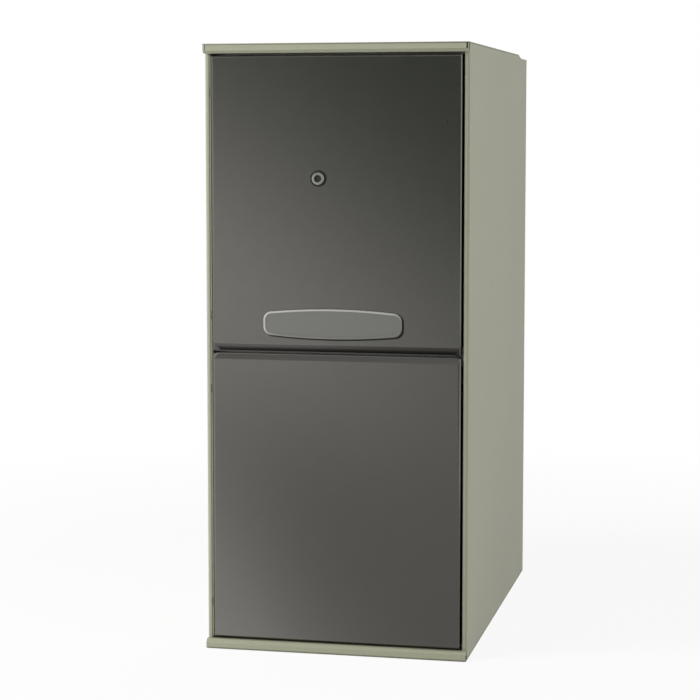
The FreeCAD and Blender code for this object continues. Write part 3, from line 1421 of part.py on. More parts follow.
def blower_wheel():
    """Double-inlet squirrel-cage wheel: forward-curved blades between rings on a hub disc."""
    half = WHEEL_HALF_WIDTH
    bore = SHAFT_RADIUS + RUNNING_FIT
    eye = WHEEL_EYE - WHEEL_RING_COVER
    disc = wheel_ring(-WHEEL_DISC / 2, WHEEL_DISC, bore, WHEEL_RADIUS)
    rings = [wheel_ring(start, WHEEL_RING, eye, WHEEL_RADIUS) for start in (-half, half - WHEEL_RING)]
    hub = wheel_ring(-WHEEL_HUB_REACH, WHEEL_HUB_REACH + WHEEL_HUB_BACK, bore, WHEEL_HUB_RADIUS)
    blades = []
    centre = (blower_y, blower_z, 0)
    radii = (WHEEL_EYE, WHEEL_RADIUS - WHEEL_RING_COVER)
    for index in range(WHEEL_BLADE_COUNT):
        angle = FULL_TURN * index / WHEEL_BLADE_COUNT
        form = (WHEEL_BLADE_LEAN, WHEEL_BLADE_CAMBER, WHEEL_BLADE)
        outline = blade(side(-half), centre, radii, *form, angle)
        blades.append(outline.extrude(X_AXIS * 2 * half))
    return disc.fuse(rings + [hub] + blades).removeSplitter()


def blower_shaft():
    """Motor shaft that carries the blower wheel."""
    start = -WHEEL_HUB_REACH - SHAFT_OVERHANG
    length = motor_left + SHAFT_SEAT - start
    return rod((start, blower_y, blower_z), X_AXIS, length, SHAFT_RADIUS)


def blower_motor():
    """Motor in the right inlet, with a stepped electronics cap and a bore for its shaft."""
    seat = SHAFT_SEAT + END_PLAY
    bore = SHAFT_RADIUS + RUNNING_FIT
    cap_radius = MOTOR_RADIUS - MOTOR_CAP_STEP
    end = MOTOR_LENGTH
    outline = [
        (0, seat),
        (bore, seat),
        (bore, 0),
        (MOTOR_NOSE_RADIUS, 0),
        (MOTOR_NOSE_RADIUS, MOTOR_NOSE),
        (MOTOR_RADIUS - MOTOR_ROUND, MOTOR_NOSE),
        (MOTOR_RADIUS, MOTOR_NOSE + MOTOR_ROUND),
        (MOTOR_RADIUS, end - MOTOR_CAP),
        (cap_radius, end - MOTOR_CAP + MOTOR_CAP_STEP),
        (cap_radius, end - MOTOR_ROUND),
        (cap_radius - MOTOR_ROUND, end),
        (0, end),
    ]
    return turned((motor_left, blower_y, blower_z), X_AXIS, outline)


def motor_mount():
    """Belly band round the motor with sprung arms to the side of the blower housing."""
    band_start = BLOWER_HALF_WIDTH - MOUNT_BAND_OFFSET - MOUNT_BAND_WIDTH
    inner = MOTOR_RADIUS + FIT
    band = wheel_ring(band_start, MOUNT_BAND_WIDTH, inner, inner + MOUNT_BAND)
    arm_x = band_start + MOUNT_BAND_WIDTH - MOUNT_ARM
    points = [
        (BLOWER_HALF_WIDTH, MOUNT_FOOT_OUTER),
        (BLOWER_HALF_WIDTH, MOUNT_FOOT_INNER),
        (BLOWER_HALF_WIDTH + MOUNT_ARM, MOUNT_FOOT_INNER - MOUNT_ARM),
        (arm_x, inner + MOUNT_BAND / 2),
    ]
    place = mount_plane()
    arm = bent_sheet(place, points, Y_AXIS * MOUNT_ARM_WIDTH, MOUNT_ARM)
    centre = FreeCAD.Vector(0, blower_y, blower_z)
    arms = []
    for index in range(MOUNT_ARM_COUNT):
        turned_arm = arm.copy()
        turned_arm.rotate(centre, X_AXIS, MOUNT_ARM_ANGLE + FULL_TURN * index / MOUNT_ARM_COUNT)
        arms.append(turned_arm)
    core = rod((band_start - OVERRUN, blower_y, blower_z), X_AXIS, 2 * MOUNT_BAND_WIDTH, inner)
    return band.fuse(arms).cut(core).removeSplitter()


def mount_plane():
    """Drawing plane of a motor arm: (x, distance from the blower axis), half an arm width off it."""
    start = blower_y - MOUNT_ARM_WIDTH / 2
    return lambda u, v: FreeCAD.Vector(u, start, blower_z + v)


def control_panel():
    """Folded bracket under the deck with stand-offs for the control board."""
    points = [
        (control_y + CONTROL_FLANGE, deck_under),
        (control_y, deck_under),
        (control_y, control_bottom),
    ]
    panel = bent_sheet(side(control_left), points, X_AXIS * CONTROL_WIDTH)
    for x in (board_left + STANDOFF_INSET, board_left + BOARD_WIDTH - STANDOFF_INSET):
        for z in (board_bottom + STANDOFF_INSET, board_top - STANDOFF_INSET):
            start = (x, control_y - STANDOFF, z)
            panel = panel.fuse(rod(start, Y_AXIS, STANDOFF + SHEET, STANDOFF_RADIUS))
    return panel.removeSplitter()


def control_board():
    """Circuit board on its stand-offs."""
    x = (board_left, board_left + BOARD_WIDTH)
    return box(x, (board_face, board_face + BOARD_THICKNESS), (board_bottom, board_top))


def board_spot(across_share, up_share):
    """Place on the control board from shares of its width and height."""
    return board_left + across_share * BOARD_WIDTH, board_bottom + up_share * BOARD_HEIGHT


def board_block(across_shares, up_share, height, depth):
    """Rectangular connector on the control board between two shares of its width."""
    left, bottom = board_spot(across_shares[0], up_share)
    right, _ = board_spot(across_shares[1], up_share)
    return box((left, right), (board_face - depth, board_face), (bottom, bottom + height))


def board_components():
    """Relays, capacitors, stepped terminal strip and plug header of the control board."""
    pieces = []
    for index in range(RELAY_COUNT):
        x, z = board_spot(RELAY_LEFT_SHARE + index * RELAY_PITCH_SHARE, RELAY_HEIGHT_SHARE)
        depths = (board_face - RELAY_DEPTH, board_face)
        pieces.append(box((x, x + RELAY_WIDTH), depths, (z, z + RELAY_HEIGHT)))
    for across, up in CAPACITOR_SHARES:
        x, z = board_spot(across, up)
        start = (x, board_face - CAPACITOR_LENGTH, z)
        pieces.append(rod(start, Y_AXIS, CAPACITOR_LENGTH, CAPACITOR_RADIUS))
    strip = board_block(TERMINAL_SHARES, TERMINAL_HEIGHT_SHARE, TERMINAL_HEIGHT, TERMINAL_DEPTH)
    step_height = TERMINAL_HEIGHT + TERMINAL_STEP
    step = board_block(TERMINAL_SHARES, TERMINAL_HEIGHT_SHARE, step_height, TERMINAL_STEP)
    pieces.append(strip.fuse(step).removeSplitter())
    pieces.append(board_block(PLUG_SHARES, PLUG_HEIGHT_SHARE, PLUG_HEIGHT, PLUG_DEPTH))
    return Part.makeCompound(pieces)


def transformer():
    """Control transformer: laminated core round a wound coil, on two feet."""
    left = board_left + BOARD_WIDTH + TRANSFORMER_LEFT_GAP
    top = deck_under - TRANSFORMER_DROP
    x, z = (left, left + TRANSFORMER_WIDTH), (top - TRANSFORMER_HEIGHT, top)
    coil_y = (control_y - TRANSFORMER_FOOT - TRANSFORMER_COIL, control_y - TRANSFORMER_FOOT)
    coil_x = (x[0] + TRANSFORMER_COIL_INSET, x[1] - TRANSFORMER_COIL_INSET)
    coil = box(coil_x, coil_y, z)
    coil = coil.makeFillet(TRANSFORMER_ROUND, edges_along(coil, Z_AXIS, lambda point: True))
    core_z = (z[0] + TRANSFORMER_ROUND, z[1] - TRANSFORMER_ROUND)
    core = box(x, about(sum(coil_y) / 2, TRANSFORMER_CORE), core_z)
    foot_z = (core_z[0] - TRANSFORMER_FOOT_REACH, core_z[1] + TRANSFORMER_FOOT_REACH)
    foot = box(x, (control_y - TRANSFORMER_FOOT, control_y), foot_z)
    return coil.fuse([core, foot]).removeSplitter()


def interlock_switch():
    """Door switch under the middle rail, bored for its plunger."""
    y = (interlock_face, interlock_face + INTERLOCK_DEPTH)
    body = box(about(interlock_x, INTERLOCK_WIDTH), y, (interlock_top - INTERLOCK_HEIGHT, interlock_top))
    start = (interlock_x, interlock_face, interlock_z)
    bore = rod(start, Y_AXIS, PLUNGER_BORE, PLUNGER_RADIUS + RUNNING_FIT)
    return body.cut(bore)


def interlock_plunger():
    """Plunger of the door switch, held in by the tab on the closed lower door."""
    tip = (interlock_x, tab_back + TAB_GAP, interlock_z)
    stem = rod(tip, Y_AXIS, interlock_face + PLUNGER_SEAT - tip[1], PLUNGER_RADIUS)
    head = rod(tip, Y_AXIS, PLUNGER_HEAD, PLUNGER_HEAD_RADIUS)
    return stem.fuse(head).removeSplitter()


def grip_tool(edge, direction, depth, height, grow):
    """Cutter of a finger grip along a door edge, with mitred ends.

    The edge is the height of the door edge, direction is +1 where the door lies above it,
    and grow offsets the cutter's slopes outwards, which leaves a wall of that thickness.
    """
    rise = (height - GRIP_LIP) / depth
    slope_shift = grow * math.hypot(1, rise)
    mitre_shift = grow * math.hypot(1, 1)
    wires = []
    for inward in (-OVERRUN, depth + grow):
        reach = height - rise * inward + slope_shift
        half = door_half - GRIP_END - inward + mitre_shift
        far, near = edge + direction * reach, edge - direction * OVERRUN
        corners = [(-half, near), (half, near), (half, far), (-half, far)]
        place = front(door_face + inward)
        wires.append(polygon(place, corners).OuterWire)
    return Part.makeLoft(wires, True, True)


def door_block(bottom, top, inset, back):
    """Outer or inner form of a door pan, with its front edges rounded."""
    half = door_half - inset
    block = box((-half, half), (door_face + inset, back), (bottom + inset, top - inset))
    rounded = [edge for edge in block.Edges if edge.CenterOfGravity.y < door_face + inset + FIT]
    return block.makeFillet(DOOR_EDGE_RADIUS - inset, rounded)


def door_pan(bottom, top, grip):
    """Folded door pan with a finger grip sunk into one edge."""
    outer = door_block(bottom, top, 0, door_back).cut(grip_tool(*grip, 0))
    inner = door_block(bottom, top, SHEET, door_back + OVERRUN).cut(grip_tool(*grip, SHEET))
    return outer.cut(inner)


def upper_door_panel():
    """Burner door with the hole of its sight glass and a small screw hole near its right edge."""
    pan = door_pan(upper_bottom, upper_top, (upper_bottom, 1, UPPER_GRIP_DEPTH, UPPER_GRIP_HEIGHT))
    holes = ((SIGHT_X, sight_z, SIGHT_SLEEVE_RADIUS + FIT), (pilot_x, pilot_z, PILOT_RADIUS))
    for x, z, radius in holes:
        pan = pan.cut(rod((x, door_face - OVERRUN, z), Y_AXIS, 2 * OVERRUN, radius))
    return pan


def upper_door_liner():
    """Insulation board inside the burner door."""
    half = door_half - LINER_MARGIN
    heights = (upper_bottom + UPPER_GRIP_HEIGHT + LINER_MARGIN, upper_top - LINER_MARGIN)
    board = box((-half, half), (door_inner, door_inner + DOOR_LINER), heights)
    start = (SIGHT_X, door_face - OVERRUN, sight_z)
    hole = SIGHT_SLEEVE_RADIUS + SIGHT_LINER_MARGIN
    return board.cut(rod(start, Y_AXIS, DOOR_LINER + 3 * OVERRUN, hole))


def lower_door_panel():
    """Blower door with the welded tab that holds the door switch in."""
    pan = door_pan(lower_bottom, lower_top, (lower_top, -1, LOWER_GRIP_DEPTH, LOWER_GRIP_HEIGHT))
    arm_x = interlock_x - TAB_WIDTH / 2
    points = [
        (arm_x - TAB_FOOT, door_inner),
        (arm_x, door_inner),
        (arm_x, tab_back - SHEET),
        (arm_x + TAB_WIDTH, tab_back - SHEET),
    ]
    start = interlock_z - TAB_WIDTH / 2
    return pan.fuse(bent_sheet(plan(start), points, Z_AXIS * TAB_WIDTH)).removeSplitter()


def lower_door_liner():
    """Insulation board inside the blower door, below the tab of the door switch."""
    half = door_half - LINER_MARGIN
    heights = (lower_bottom + LINER_MARGIN, lower_top - LOWER_LINER_TOP_MARGIN)
    return box((-half, half), (door_inner, door_inner + DOOR_LINER), heights)


def door_catches():
    """Spring leaves on the posts that grip the sides of the doors."""
    reach = DOOR_SIDE_GAP - FIT
    middle = (panel_front + door_back) / 2
    ends = about(middle, CATCH_LENGTH)
    rows = (
        lower_bottom + CATCH_INSET, lower_top - CATCH_INSET,
        upper_bottom + CATCH_INSET, upper_top - CATCH_INSET,
    )
    leaves = []
    for sign in (-1, 1):
        root = [FreeCAD.Vector(sign * post_inner, y, 0) for y in ends]
        crest = FreeCAD.Vector(sign * (post_inner - reach), middle, 0)
        inner = [root[0] + Y_AXIS * CATCH_THICKNESS, root[1] - Y_AXIS * CATCH_THICKNESS]
        inner_crest = crest + X_AXIS * sign * CATCH_THICKNESS
        for z in rows:
            place = plan(z - CATCH_WIDTH / 2)
            edges = [
                arc(place, root[0], crest, root[1]),
                line(place, root[1], inner[1]),
                arc(place, inner[1], inner_crest, inner[0]),
                line(place, inner[0], root[0]),
            ]
            leaves.append(Part.Face(Part.Wire(edges)).extrude(Z_AXIS * CATCH_WIDTH))
    return Part.makeCompound(leaves)


def sight_glass_gasket():
    """Rubber ring under the sight glass bezel."""
    outline = [
        (SIGHT_SLEEVE_RADIUS + FIT, 0),
        (SIGHT_GASKET_RADIUS, 0),
        (SIGHT_GASKET_RADIUS, SIGHT_GASKET),
        (SIGHT_SLEEVE_RADIUS + FIT, SIGHT_GASKET),
    ]
    return turned((SIGHT_X, door_face, sight_z), -Y_AXIS, outline)


def sight_glass_bezel():
    """Rounded metal ring whose sleeve passes through the door and carries the lens."""
    high = SIGHT_GASKET + SIGHT_BEZEL
    outline = [
        (SIGHT_BORE, -SIGHT_SLEEVE),
        (SIGHT_SLEEVE_RADIUS, -SIGHT_SLEEVE),
        (SIGHT_SLEEVE_RADIUS, SIGHT_GASKET),
        (SIGHT_BEZEL_RADIUS, SIGHT_GASKET),
        (SIGHT_BEZEL_RADIUS, high),
        (SIGHT_BORE, high),
    ]
    ring = turned((SIGHT_X, door_face, sight_z), -Y_AXIS, outline)
    front_edges = [edge for edge in ring.Edges if edge.CenterOfGravity.y < door_face - high + FIT]
    crown = [edge for edge in front_edges if edge.Length > 2 * math.pi * SIGHT_SLEEVE_RADIUS]
    return ring.makeFillet(SIGHT_BEZEL_ROUND, crown)


def sight_glass_lens():
    """Round glass set back in the bezel."""
    start = door_face - SIGHT_GASKET - SIGHT_BEZEL + SIGHT_LENS_SETBACK
    return rod((SIGHT_X, start, sight_z), Y_AXIS, SIGHT_LENS, SIGHT_BORE - FIT)


def plate_form(inset, start, end):
    """Nameplate outline between two depths: bowed long sides and rounded corners."""
    half, tall = PLATE_LENGTH / 2 - inset, PLATE_HEIGHT / 2 - inset
    radius = (half * half + PLATE_BOW * PLATE_BOW) / (2 * PLATE_BOW)
    form = box(about(PLATE_X, 2 * half), (start, end), about(plate_z, 2 * tall))
    for sign in (-1, 1):
        centre = (PLATE_X, start - OVERRUN, plate_z + sign * (tall - radius))
        form = form.common(rod(centre, Y_AXIS, end - start + 2 * OVERRUN, radius))
    return form.makeFillet(PLATE_CORNER - inset, edges_along(form, Y_AXIS, lambda point: True))


def nameplate():
    """Bare bowed plate with a raised rim."""
    plate_front = door_face - PLATE_THICKNESS
    plate = plate_form(0, plate_front, door_face)
    rim = [edge for edge in plate.Edges if edge.CenterOfGravity.y < plate_front + FIT]
    plate = plate.makeFillet(PLATE_EDGE_ROUND, rim)
    return plate.cut(plate_form(PLATE_RIM, plate_front - OVERRUN, plate_front + PLATE_RECESS))


PIECES = (
    left_side_panel, right_side_panel, back_panel, base_pan, top_panel, top_rail, bottom_rail,
    middle_rail, blower_deck, vestibule_panel, wall_insulation, wall_grommets, door_catches,
    heat_exchanger_tubes, coupling_box, condensing_coil, collector_box, condensate_trap,
    burners, burner_hood, burner_rack, gas_manifold, gas_orifices, gas_valve, gas_valve_knob,
    igniter, flame_sensor, rollout_switches, limit_switch,
    inducer_back_plate, inducer_housing, inducer_wheel, inducer_motor,
    vent_boot, vent_pipe, pipe_collars, pressure_switch, pressure_hose,
    blower_housing, blower_wheel, blower_shaft, blower_motor, motor_mount,
    control_panel, control_board, board_components, transformer, interlock_switch, interlock_plunger,
    upper_door_panel, upper_door_liner, sight_glass_gasket, sight_glass_bezel, sight_glass_lens,
    nameplate, lower_door_panel, lower_door_liner,
)


def main():
    """Writes one file for each piece."""
    os.makedirs("parts", exist_ok=True)
    for piece in PIECES:
        piece().exportStep(f"parts/{piece.__name__}.step")
    for index, name in enumerate(("left_reset_button", "right_reset_button")):
        reset_button(index).exportStep(f"parts/{name}.step")


main()
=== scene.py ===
import logging
import math
from abc import ABC, abstractmethod
from dataclasses import dataclass
from enum import Enum
from typing import Mapping, Sequence

import bmesh
import bpy
from mathutils import Matrix, Vector
from mathutils.geometry import convex_hull_2d


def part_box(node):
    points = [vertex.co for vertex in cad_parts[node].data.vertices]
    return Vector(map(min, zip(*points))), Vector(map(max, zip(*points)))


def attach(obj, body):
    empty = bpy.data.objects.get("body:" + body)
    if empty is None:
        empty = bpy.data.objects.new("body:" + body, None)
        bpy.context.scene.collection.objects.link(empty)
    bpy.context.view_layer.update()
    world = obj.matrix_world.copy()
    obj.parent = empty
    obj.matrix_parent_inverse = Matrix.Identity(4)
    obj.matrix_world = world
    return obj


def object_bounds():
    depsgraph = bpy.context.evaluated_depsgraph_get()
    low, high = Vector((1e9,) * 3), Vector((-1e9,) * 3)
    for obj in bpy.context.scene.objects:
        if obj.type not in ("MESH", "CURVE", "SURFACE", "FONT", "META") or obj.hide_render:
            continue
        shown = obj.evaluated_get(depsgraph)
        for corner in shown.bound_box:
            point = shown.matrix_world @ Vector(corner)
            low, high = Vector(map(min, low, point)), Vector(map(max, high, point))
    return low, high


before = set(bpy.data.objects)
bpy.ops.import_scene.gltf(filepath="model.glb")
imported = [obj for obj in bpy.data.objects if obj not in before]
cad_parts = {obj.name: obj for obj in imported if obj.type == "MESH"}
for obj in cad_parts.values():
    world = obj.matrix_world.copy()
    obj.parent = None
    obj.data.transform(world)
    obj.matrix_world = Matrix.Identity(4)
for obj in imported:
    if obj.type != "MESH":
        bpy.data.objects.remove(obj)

LOG = logging.getLogger("furnace")
CAD_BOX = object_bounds()
MM = 0.001
WELD_REACH = 1e-6
FOLD_ANGLE = math.radians(25)
SMOOTH_ANGLE = math.radians(35)
ROUNDING_STEPS = 2
WHITE = (1.0, 1.0, 1.0)

Colour = tuple[float, float, float]
Point = tuple[float, float, float]
Grain = tuple[float, float]  # blobs per metre and levels of detail of a noise
Range = tuple[float, float]  # darkest and lightest share of a colour
Row = tuple[float, float, int]  # first place, last place and count
Ring = tuple[float, float, int]  # radius and height in millimetres, and sides
Profile = tuple[tuple[float, float], ...]  # corners of a section, in metres or as shares
Loop = Sequence[bmesh.types.BMVert]  # closed round of vertices
Stop = tuple[float, Colour]  # place on a ramp and its colour


class Sock:
    """An output socket whose arithmetic adds Math nodes to its tree."""

    def __init__(self, recipe: "Recipe", socket: bpy.types.NodeSocket) -> None:
        """Wraps a socket of a recipe's tree."""
        self.recipe = recipe
        self.socket = socket

    def math(self, operation: str, first: "Value", second: "Value" = 0.0) -> "Sock":
        """Adds one Math node.

        Args:
            operation: Name of the operation.
            first: Left value or socket.
            second: Right value or socket.

        Returns:
            The result's socket.
        """
        return self.recipe.add("ShaderNodeMath", {"operation": operation}, {0: first, 1: second})

    def __add__(self, other: "Value") -> "Sock":
        """Sum."""
        return self.math("ADD", self, other)

    def __radd__(self, other: "Value") -> "Sock":
        """Sum with the socket on the right."""
        return self.math("ADD", other, self)

    def __sub__(self, other: "Value") -> "Sock":
        """Difference."""
        return self.math("SUBTRACT", self, other)

    def __rsub__(self, other: "Value") -> "Sock":
        """Difference with the socket on the right."""
        return self.math("SUBTRACT", other, self)

    def __mul__(self, other: "Value") -> "Sock":
        """Product."""
        return self.math("MULTIPLY", self, other)

    def __rmul__(self, other: "Value") -> "Sock":
        """Product with the socket on the right."""
        return self.math("MULTIPLY", other, self)

    def __gt__(self, other: "Value") -> "Sock":
        """One where the socket is the larger, else nought."""
        return self.math("GREATER_THAN", self, other)

    def __lt__(self, other: "Value") -> "Sock":
        """One where the socket is the smaller, else nought."""
        return self.math("LESS_THAN", self, other)

    def largest(self, other: "Value") -> "Sock":
        """The larger of two values."""
        return self.math("MAXIMUM", self, other)

    def blended(self, other: "Sock", share: float) -> "Sock":
        """Weighted sum, in which the other value has the given share."""
        return self * (1 - share) + other * share


Value = Sock | float
Feed = Sock | float | Colour


class Recipe:
    """A node tree under construction."""

    def __init__(self, tree: bpy.types.NodeTree) -> None:
        """Empties a tree and works on it."""
        self.tree = tree
        self.tree.nodes.clear()

    def add(
        self,
        kind: str,
        settings: Mapping[str, object] | None = None,
        feeds: Mapping[int | str, Feed] | None = None,
        output: int | str = 0,
    ) -> Sock:
        """Adds any node.

        Args:
            kind: Type of the node.
            settings: Attributes to set first; "stops" holds the stops of a ramp.
            feeds: Values or links of its input sockets.
            output: Which output to give back.

        Returns:
            The chosen output, or the first input of a node that ends the tree.
        """
        node = self.tree.nodes.new(kind)
        for key, value in (settings or {}).items():
            if key == "stops":
                self.set_stops(node.color_ramp, value)
            else:
                setattr(node, key, value)
        for key, value in (feeds or {}).items():
            self.feed(node.inputs[key], value)
        return Sock(self, node.outputs[output] if len(node.outputs) else node.inputs[0])

    def feed(self, target: bpy.types.NodeSocket, value: Feed) -> None:
        """Links a socket, or sets it to a plain value.

        Args:
            target: The input socket.
            value: What it gets.
        """
        if isinstance(value, Sock):
            self.tree.links.new(value.socket, target)
        elif isinstance(value, tuple) and target.type == "RGBA":
            target.default_value = (*value, 1.0)
        else:
            target.default_value = value

    @staticmethod
    def set_stops(ramp: bpy.types.ColorRamp, stops: Sequence[Stop]) -> None:
        """Puts the given stops on a ramp.

        Args:
            ramp: The ramp.
            stops: Its stops, in order.
        """
        while len(ramp.elements) < len(stops):
            ramp.elements.new(1.0)
        for element, (place, colour) in zip(ramp.elements, stops):
            element.position = place
            element.color = (*colour, 1.0)

    def place(self) -> Sock:
        """Place on the surface in the part's frame, in metres."""
        return self.add("ShaderNodeTexCoord", output="Object")

    def axis(self, name: str) -> Sock:
        """One coordinate of the place on the surface."""
        return self.add("ShaderNodeSeparateXYZ", None, {0: self.place()}, name)

    def stretched(self, factors: Point) -> Sock:
        """Place on the surface, multiplied along each axis."""
        return self.add("ShaderNodeVectorMath", {"operation": "MULTIPLY"}, {0: self.place(), 1: factors})

    def noise(self, scale: float, detail: float, where: Sock | None = None) -> Sock:
        """Soft noise from 0 to 1; the scale is in blobs per metre."""
        feeds = {"Vector": where or self.place(), "Scale": scale, "Detail": detail}
        return self.add("ShaderNodeTexNoise", None, feeds)

    def cells(self, scale: float) -> Sock:
        """One random value from 0 to 1 for each cell.

        Args:
            scale: Cells per metre.

        Returns:
            The cell's value.
        """
        feeds = {"Vector": self.place(), "Scale": scale}
        colour = self.add("ShaderNodeTexVoronoi", None, feeds, "Color")
        return self.add("ShaderNodeSeparateColor", None, {0: colour})

    def mix(self, factor: Value, first: Feed, second: Feed) -> Sock:
        """Blend of two colours."""
        settings = {"data_type": "RGBA"}
        return self.add("ShaderNodeMix", settings, {0: factor, 6: first, 7: second}, 2)

    def shaded(self, factor: Value, colour: Colour, shades: Range) -> Sock:
        """A colour that runs from its darkest to its lightest share."""
        return self.mix(factor, dimmed(colour, shades[0]), dimmed(colour, shades[1]))

    def bump(self, height: Value, distance: float) -> Sock:
        """Normal that follows a height, whose full step is the distance in metres."""
        feeds = {"Height": height, "Distance": distance, "Strength": 1.0}
        return self.add("ShaderNodeBump", None, feeds)

    def surface(self, **feeds: Feed) -> None:
        """Closes the tree with a principled shader.

        Args:
            **feeds: Its sockets, with the spaces of their names written as underscores.
        """
        named = {key.replace("_", " "): value for key, value in feeds.items()}
        shader = self.add("ShaderNodeBsdfPrincipled", None, named)
        self.add("ShaderNodeOutputMaterial", None, {"Surface": shader})


def dimmed(colour: Colour, factor: float) -> Colour:
    """A colour times a factor."""
    return tuple(channel * factor for channel in colour)


def new_recipe(name: str) -> tuple[bpy.types.Material, Recipe]:
    """Starts a material.

    Args:
        name: Its name.

    Returns:
        The material and the recipe of its tree.
    """
    material = bpy.data.materials.new(name)
    material.use_nodes = True
    return material, Recipe(material.node_tree)


@dataclass(frozen=True)
class Finish(ABC):
    """A named finish; each kind paints its own tree."""

    name: str

    def make(self) -> bpy.types.Material:
        """Builds the material.

        Returns:
            The material.
        """
        material, recipe = new_recipe(self.name)
        self.paint(recipe)
        return material

    @abstractmethod
    def paint(self, recipe: Recipe) -> None:
        """Paints the tree.

        Args:
            recipe: Tree to add to.
        """


@dataclass(frozen=True)
class Enamel(Finish):
    """Stoved enamel on sheet steel, with a fine orange peel."""

    colour: Colour
    roughness: float = 0.42
    shades: Range = (0.93, 1.07)
    cloud: Grain = (3.5, 4.0)
    dust: Grain = (60.0, 5.0)
    dust_share: float = 0.3
    dust_dulling: float = 0.12
    peel: Grain = (700.0, 2.0)
    peel_depth: float = 0.00006
    # Painted shade: how much the outer edges darken, and the share of the colour they darken to.
    edge_shade: float = 0.0
    edge_tone: float = 0.25
    bottom_edge: float = 0.0022
    top_edge: float = 0.0028
    rear_edge: float = 0.0020
    skin: float = 0.0004

    def paint(self, recipe: Recipe) -> None:
        """Paints the tree.

        Args:
            recipe: Tree to add to.
        """
        cloud, dust = recipe.noise(*self.cloud), recipe.noise(*self.dust)
        paint = recipe.shaded(cloud.blended(dust, self.dust_share), self.colour, self.shades)
        # Painted shade: a dark line along the cabinet's outer edges.
        if self.edge_shade:
            edge_shade_colour = dimmed(self.colour, self.edge_tone)
            paint = recipe.mix(self.edges(recipe) * self.edge_shade, paint, edge_shade_colour)
        recipe.surface(
            Base_Color=paint,
            Roughness=self.roughness - self.dust_dulling / 2 + dust * self.dust_dulling,
            Specular_IOR_Level=0.3,
            Normal=recipe.bump(recipe.noise(*self.peel), self.peel_depth),
        )

    def edges(self, recipe: Recipe) -> Sock:
        """Finds the cabinet's bottom, top and rear edges, where a dark line of painted shade goes.

        Args:
            recipe: Tree to add to.

        Returns:
            One along the edges, where the shade is painted, else nought.
        """
        low, high = CAD_BOX
        across, depth, height = (recipe.axis(name) for name in "XYZ")
        ends = (height < low[2] + self.bottom_edge).largest(height > high[2] - self.top_edge)
        edge_bands = ends.largest(depth > high[1] - self.rear_edge)
        walls = (across > high[0] - self.skin).largest(across < low[0] + self.skin)
        return edge_bands * walls.largest(depth < low[1] + self.skin)


@dataclass(frozen=True)
class FlakeEnamel(Finish):
    """Dark enamel with fine metal flake under a satin face."""

    colour: Colour
    roughness: float = 0.21
    shades: Range = (0.88, 1.12)
    flake_scale: float = 1500.0
    flake_dulling: float = 0.03
    cloud: Grain = (4.0, 4.0)
    cloud_share: float = 0.4
    rub: Grain = (45.0, 4.0)
    rub_dulling: float = 0.05
    peel: Grain = (600.0, 2.0)
    peel_depth: float = 0.00004
    grip_level: float = 0.504
    grip_reach: float = 0.018
    grip_face: float = -0.3564
    # Painted shade in the finger grips: the colour it darkens to, and how much of it each grip gets.
    grip_shade_tone: float = 0.08
    upper_grip_shade: float = 0.5
    lower_grip_shade: float = 0.02

    def paint(self, recipe: Recipe) -> None:
        """Paints the tree.

        Args:
            recipe: Tree to add to.
        """
        flake, rub = recipe.cells(self.flake_scale), recipe.noise(*self.rub)
        tone = flake.blended(recipe.noise(*self.cloud), self.cloud_share)
        paint = recipe.shaded(tone, self.colour, self.shades)
        smooth = self.roughness - (self.rub_dulling + self.flake_dulling) / 2
        recipe.surface(
            # The grips are darkened with painted shade.
            Base_Color=recipe.mix(self.painted_grip_shade(recipe), paint, dimmed(self.colour, self.grip_shade_tone)),
            Metallic=1.0,
            Roughness=smooth + rub * self.rub_dulling + flake * self.flake_dulling,
            Normal=recipe.bump(recipe.noise(*self.peel), self.peel_depth),
        )

    def painted_grip_shade(self, recipe: Recipe) -> Sock:
        """Finds the finger grips, where shade is painted into the door's colour, dark in the upper grip
        and faint in the lower.

        Args:
            recipe: Tree to add to.

        Returns:
            Share of the painted shade.
        """
        height = recipe.axis("Z") - self.grip_level
        sunk = recipe.axis("Y") > self.grip_face
        upper = (height > 0.0) * (height < self.grip_reach) * self.upper_grip_shade
        lower = (height < 0.0) * (height > -self.grip_reach) * self.lower_grip_shade
        return sunk * (upper + lower)


@dataclass(frozen=True)
class Galvanised(Finish):
    """Zinc-coated sheet with its crystal spangle."""

    colour: Colour = (0.58, 0.59, 0.60)
    spangle: float = 130.0
    shades: Range = (0.72, 1.12)
    grease: Grain = (9.0, 5.0)
    grease_share: float = 0.35
    grease_dulling: float = 0.1
    crystal_dulling: float = 0.14
    roughness: float = 0.34
    dents: Grain = (240.0, 3.0)
    dent_depth: float = 0.00003

    def paint(self, recipe: Recipe) -> None:
        """Paints the tree.

        Args:
            recipe: Tree to add to.
        """
        crystal, grease = recipe.cells(self.spangle), recipe.noise(*self.grease)
        tone = crystal.blended(grease, self.grease_share)
        recipe.surface(
            Base_Color=recipe.shaded(tone, self.colour, self.shades),
            Metallic=0.9,
            Roughness=self.roughness + crystal * self.crystal_dulling + grease * self.grease_dulling,
            Normal=recipe.bump(recipe.noise(*self.dents), self.dent_depth),
        )


@dataclass(frozen=True)
class Foil(Finish):
    """Foil facing of a glass-fibre board, crinkled and quilted by its weave."""

    colour: Colour = (0.66, 0.67, 0.67)
    shades: Range = (0.75, 1.0)
    crinkle: Grain = (70.0, 6.0)
    crinkle_depth: float = 0.0012
    crinkle_dulling: float = 0.2
    scrim: float = 95.0
    scrim_share: float = 0.25
    roughness: float = 0.3

    def paint(self, recipe: Recipe) -> None:
        """Paints the tree.

        Args:
            recipe: Tree to add to.
        """
        crinkle, scrim = recipe.noise(*self.crinkle), recipe.cells(self.scrim)
        recipe.surface(
            Base_Color=recipe.shaded(crinkle, self.colour, self.shades),
            Metallic=0.85,
            Roughness=self.roughness + crinkle * self.crinkle_dulling,
            Normal=recipe.bump(crinkle.blended(scrim, self.scrim_share), self.crinkle_depth),
        )


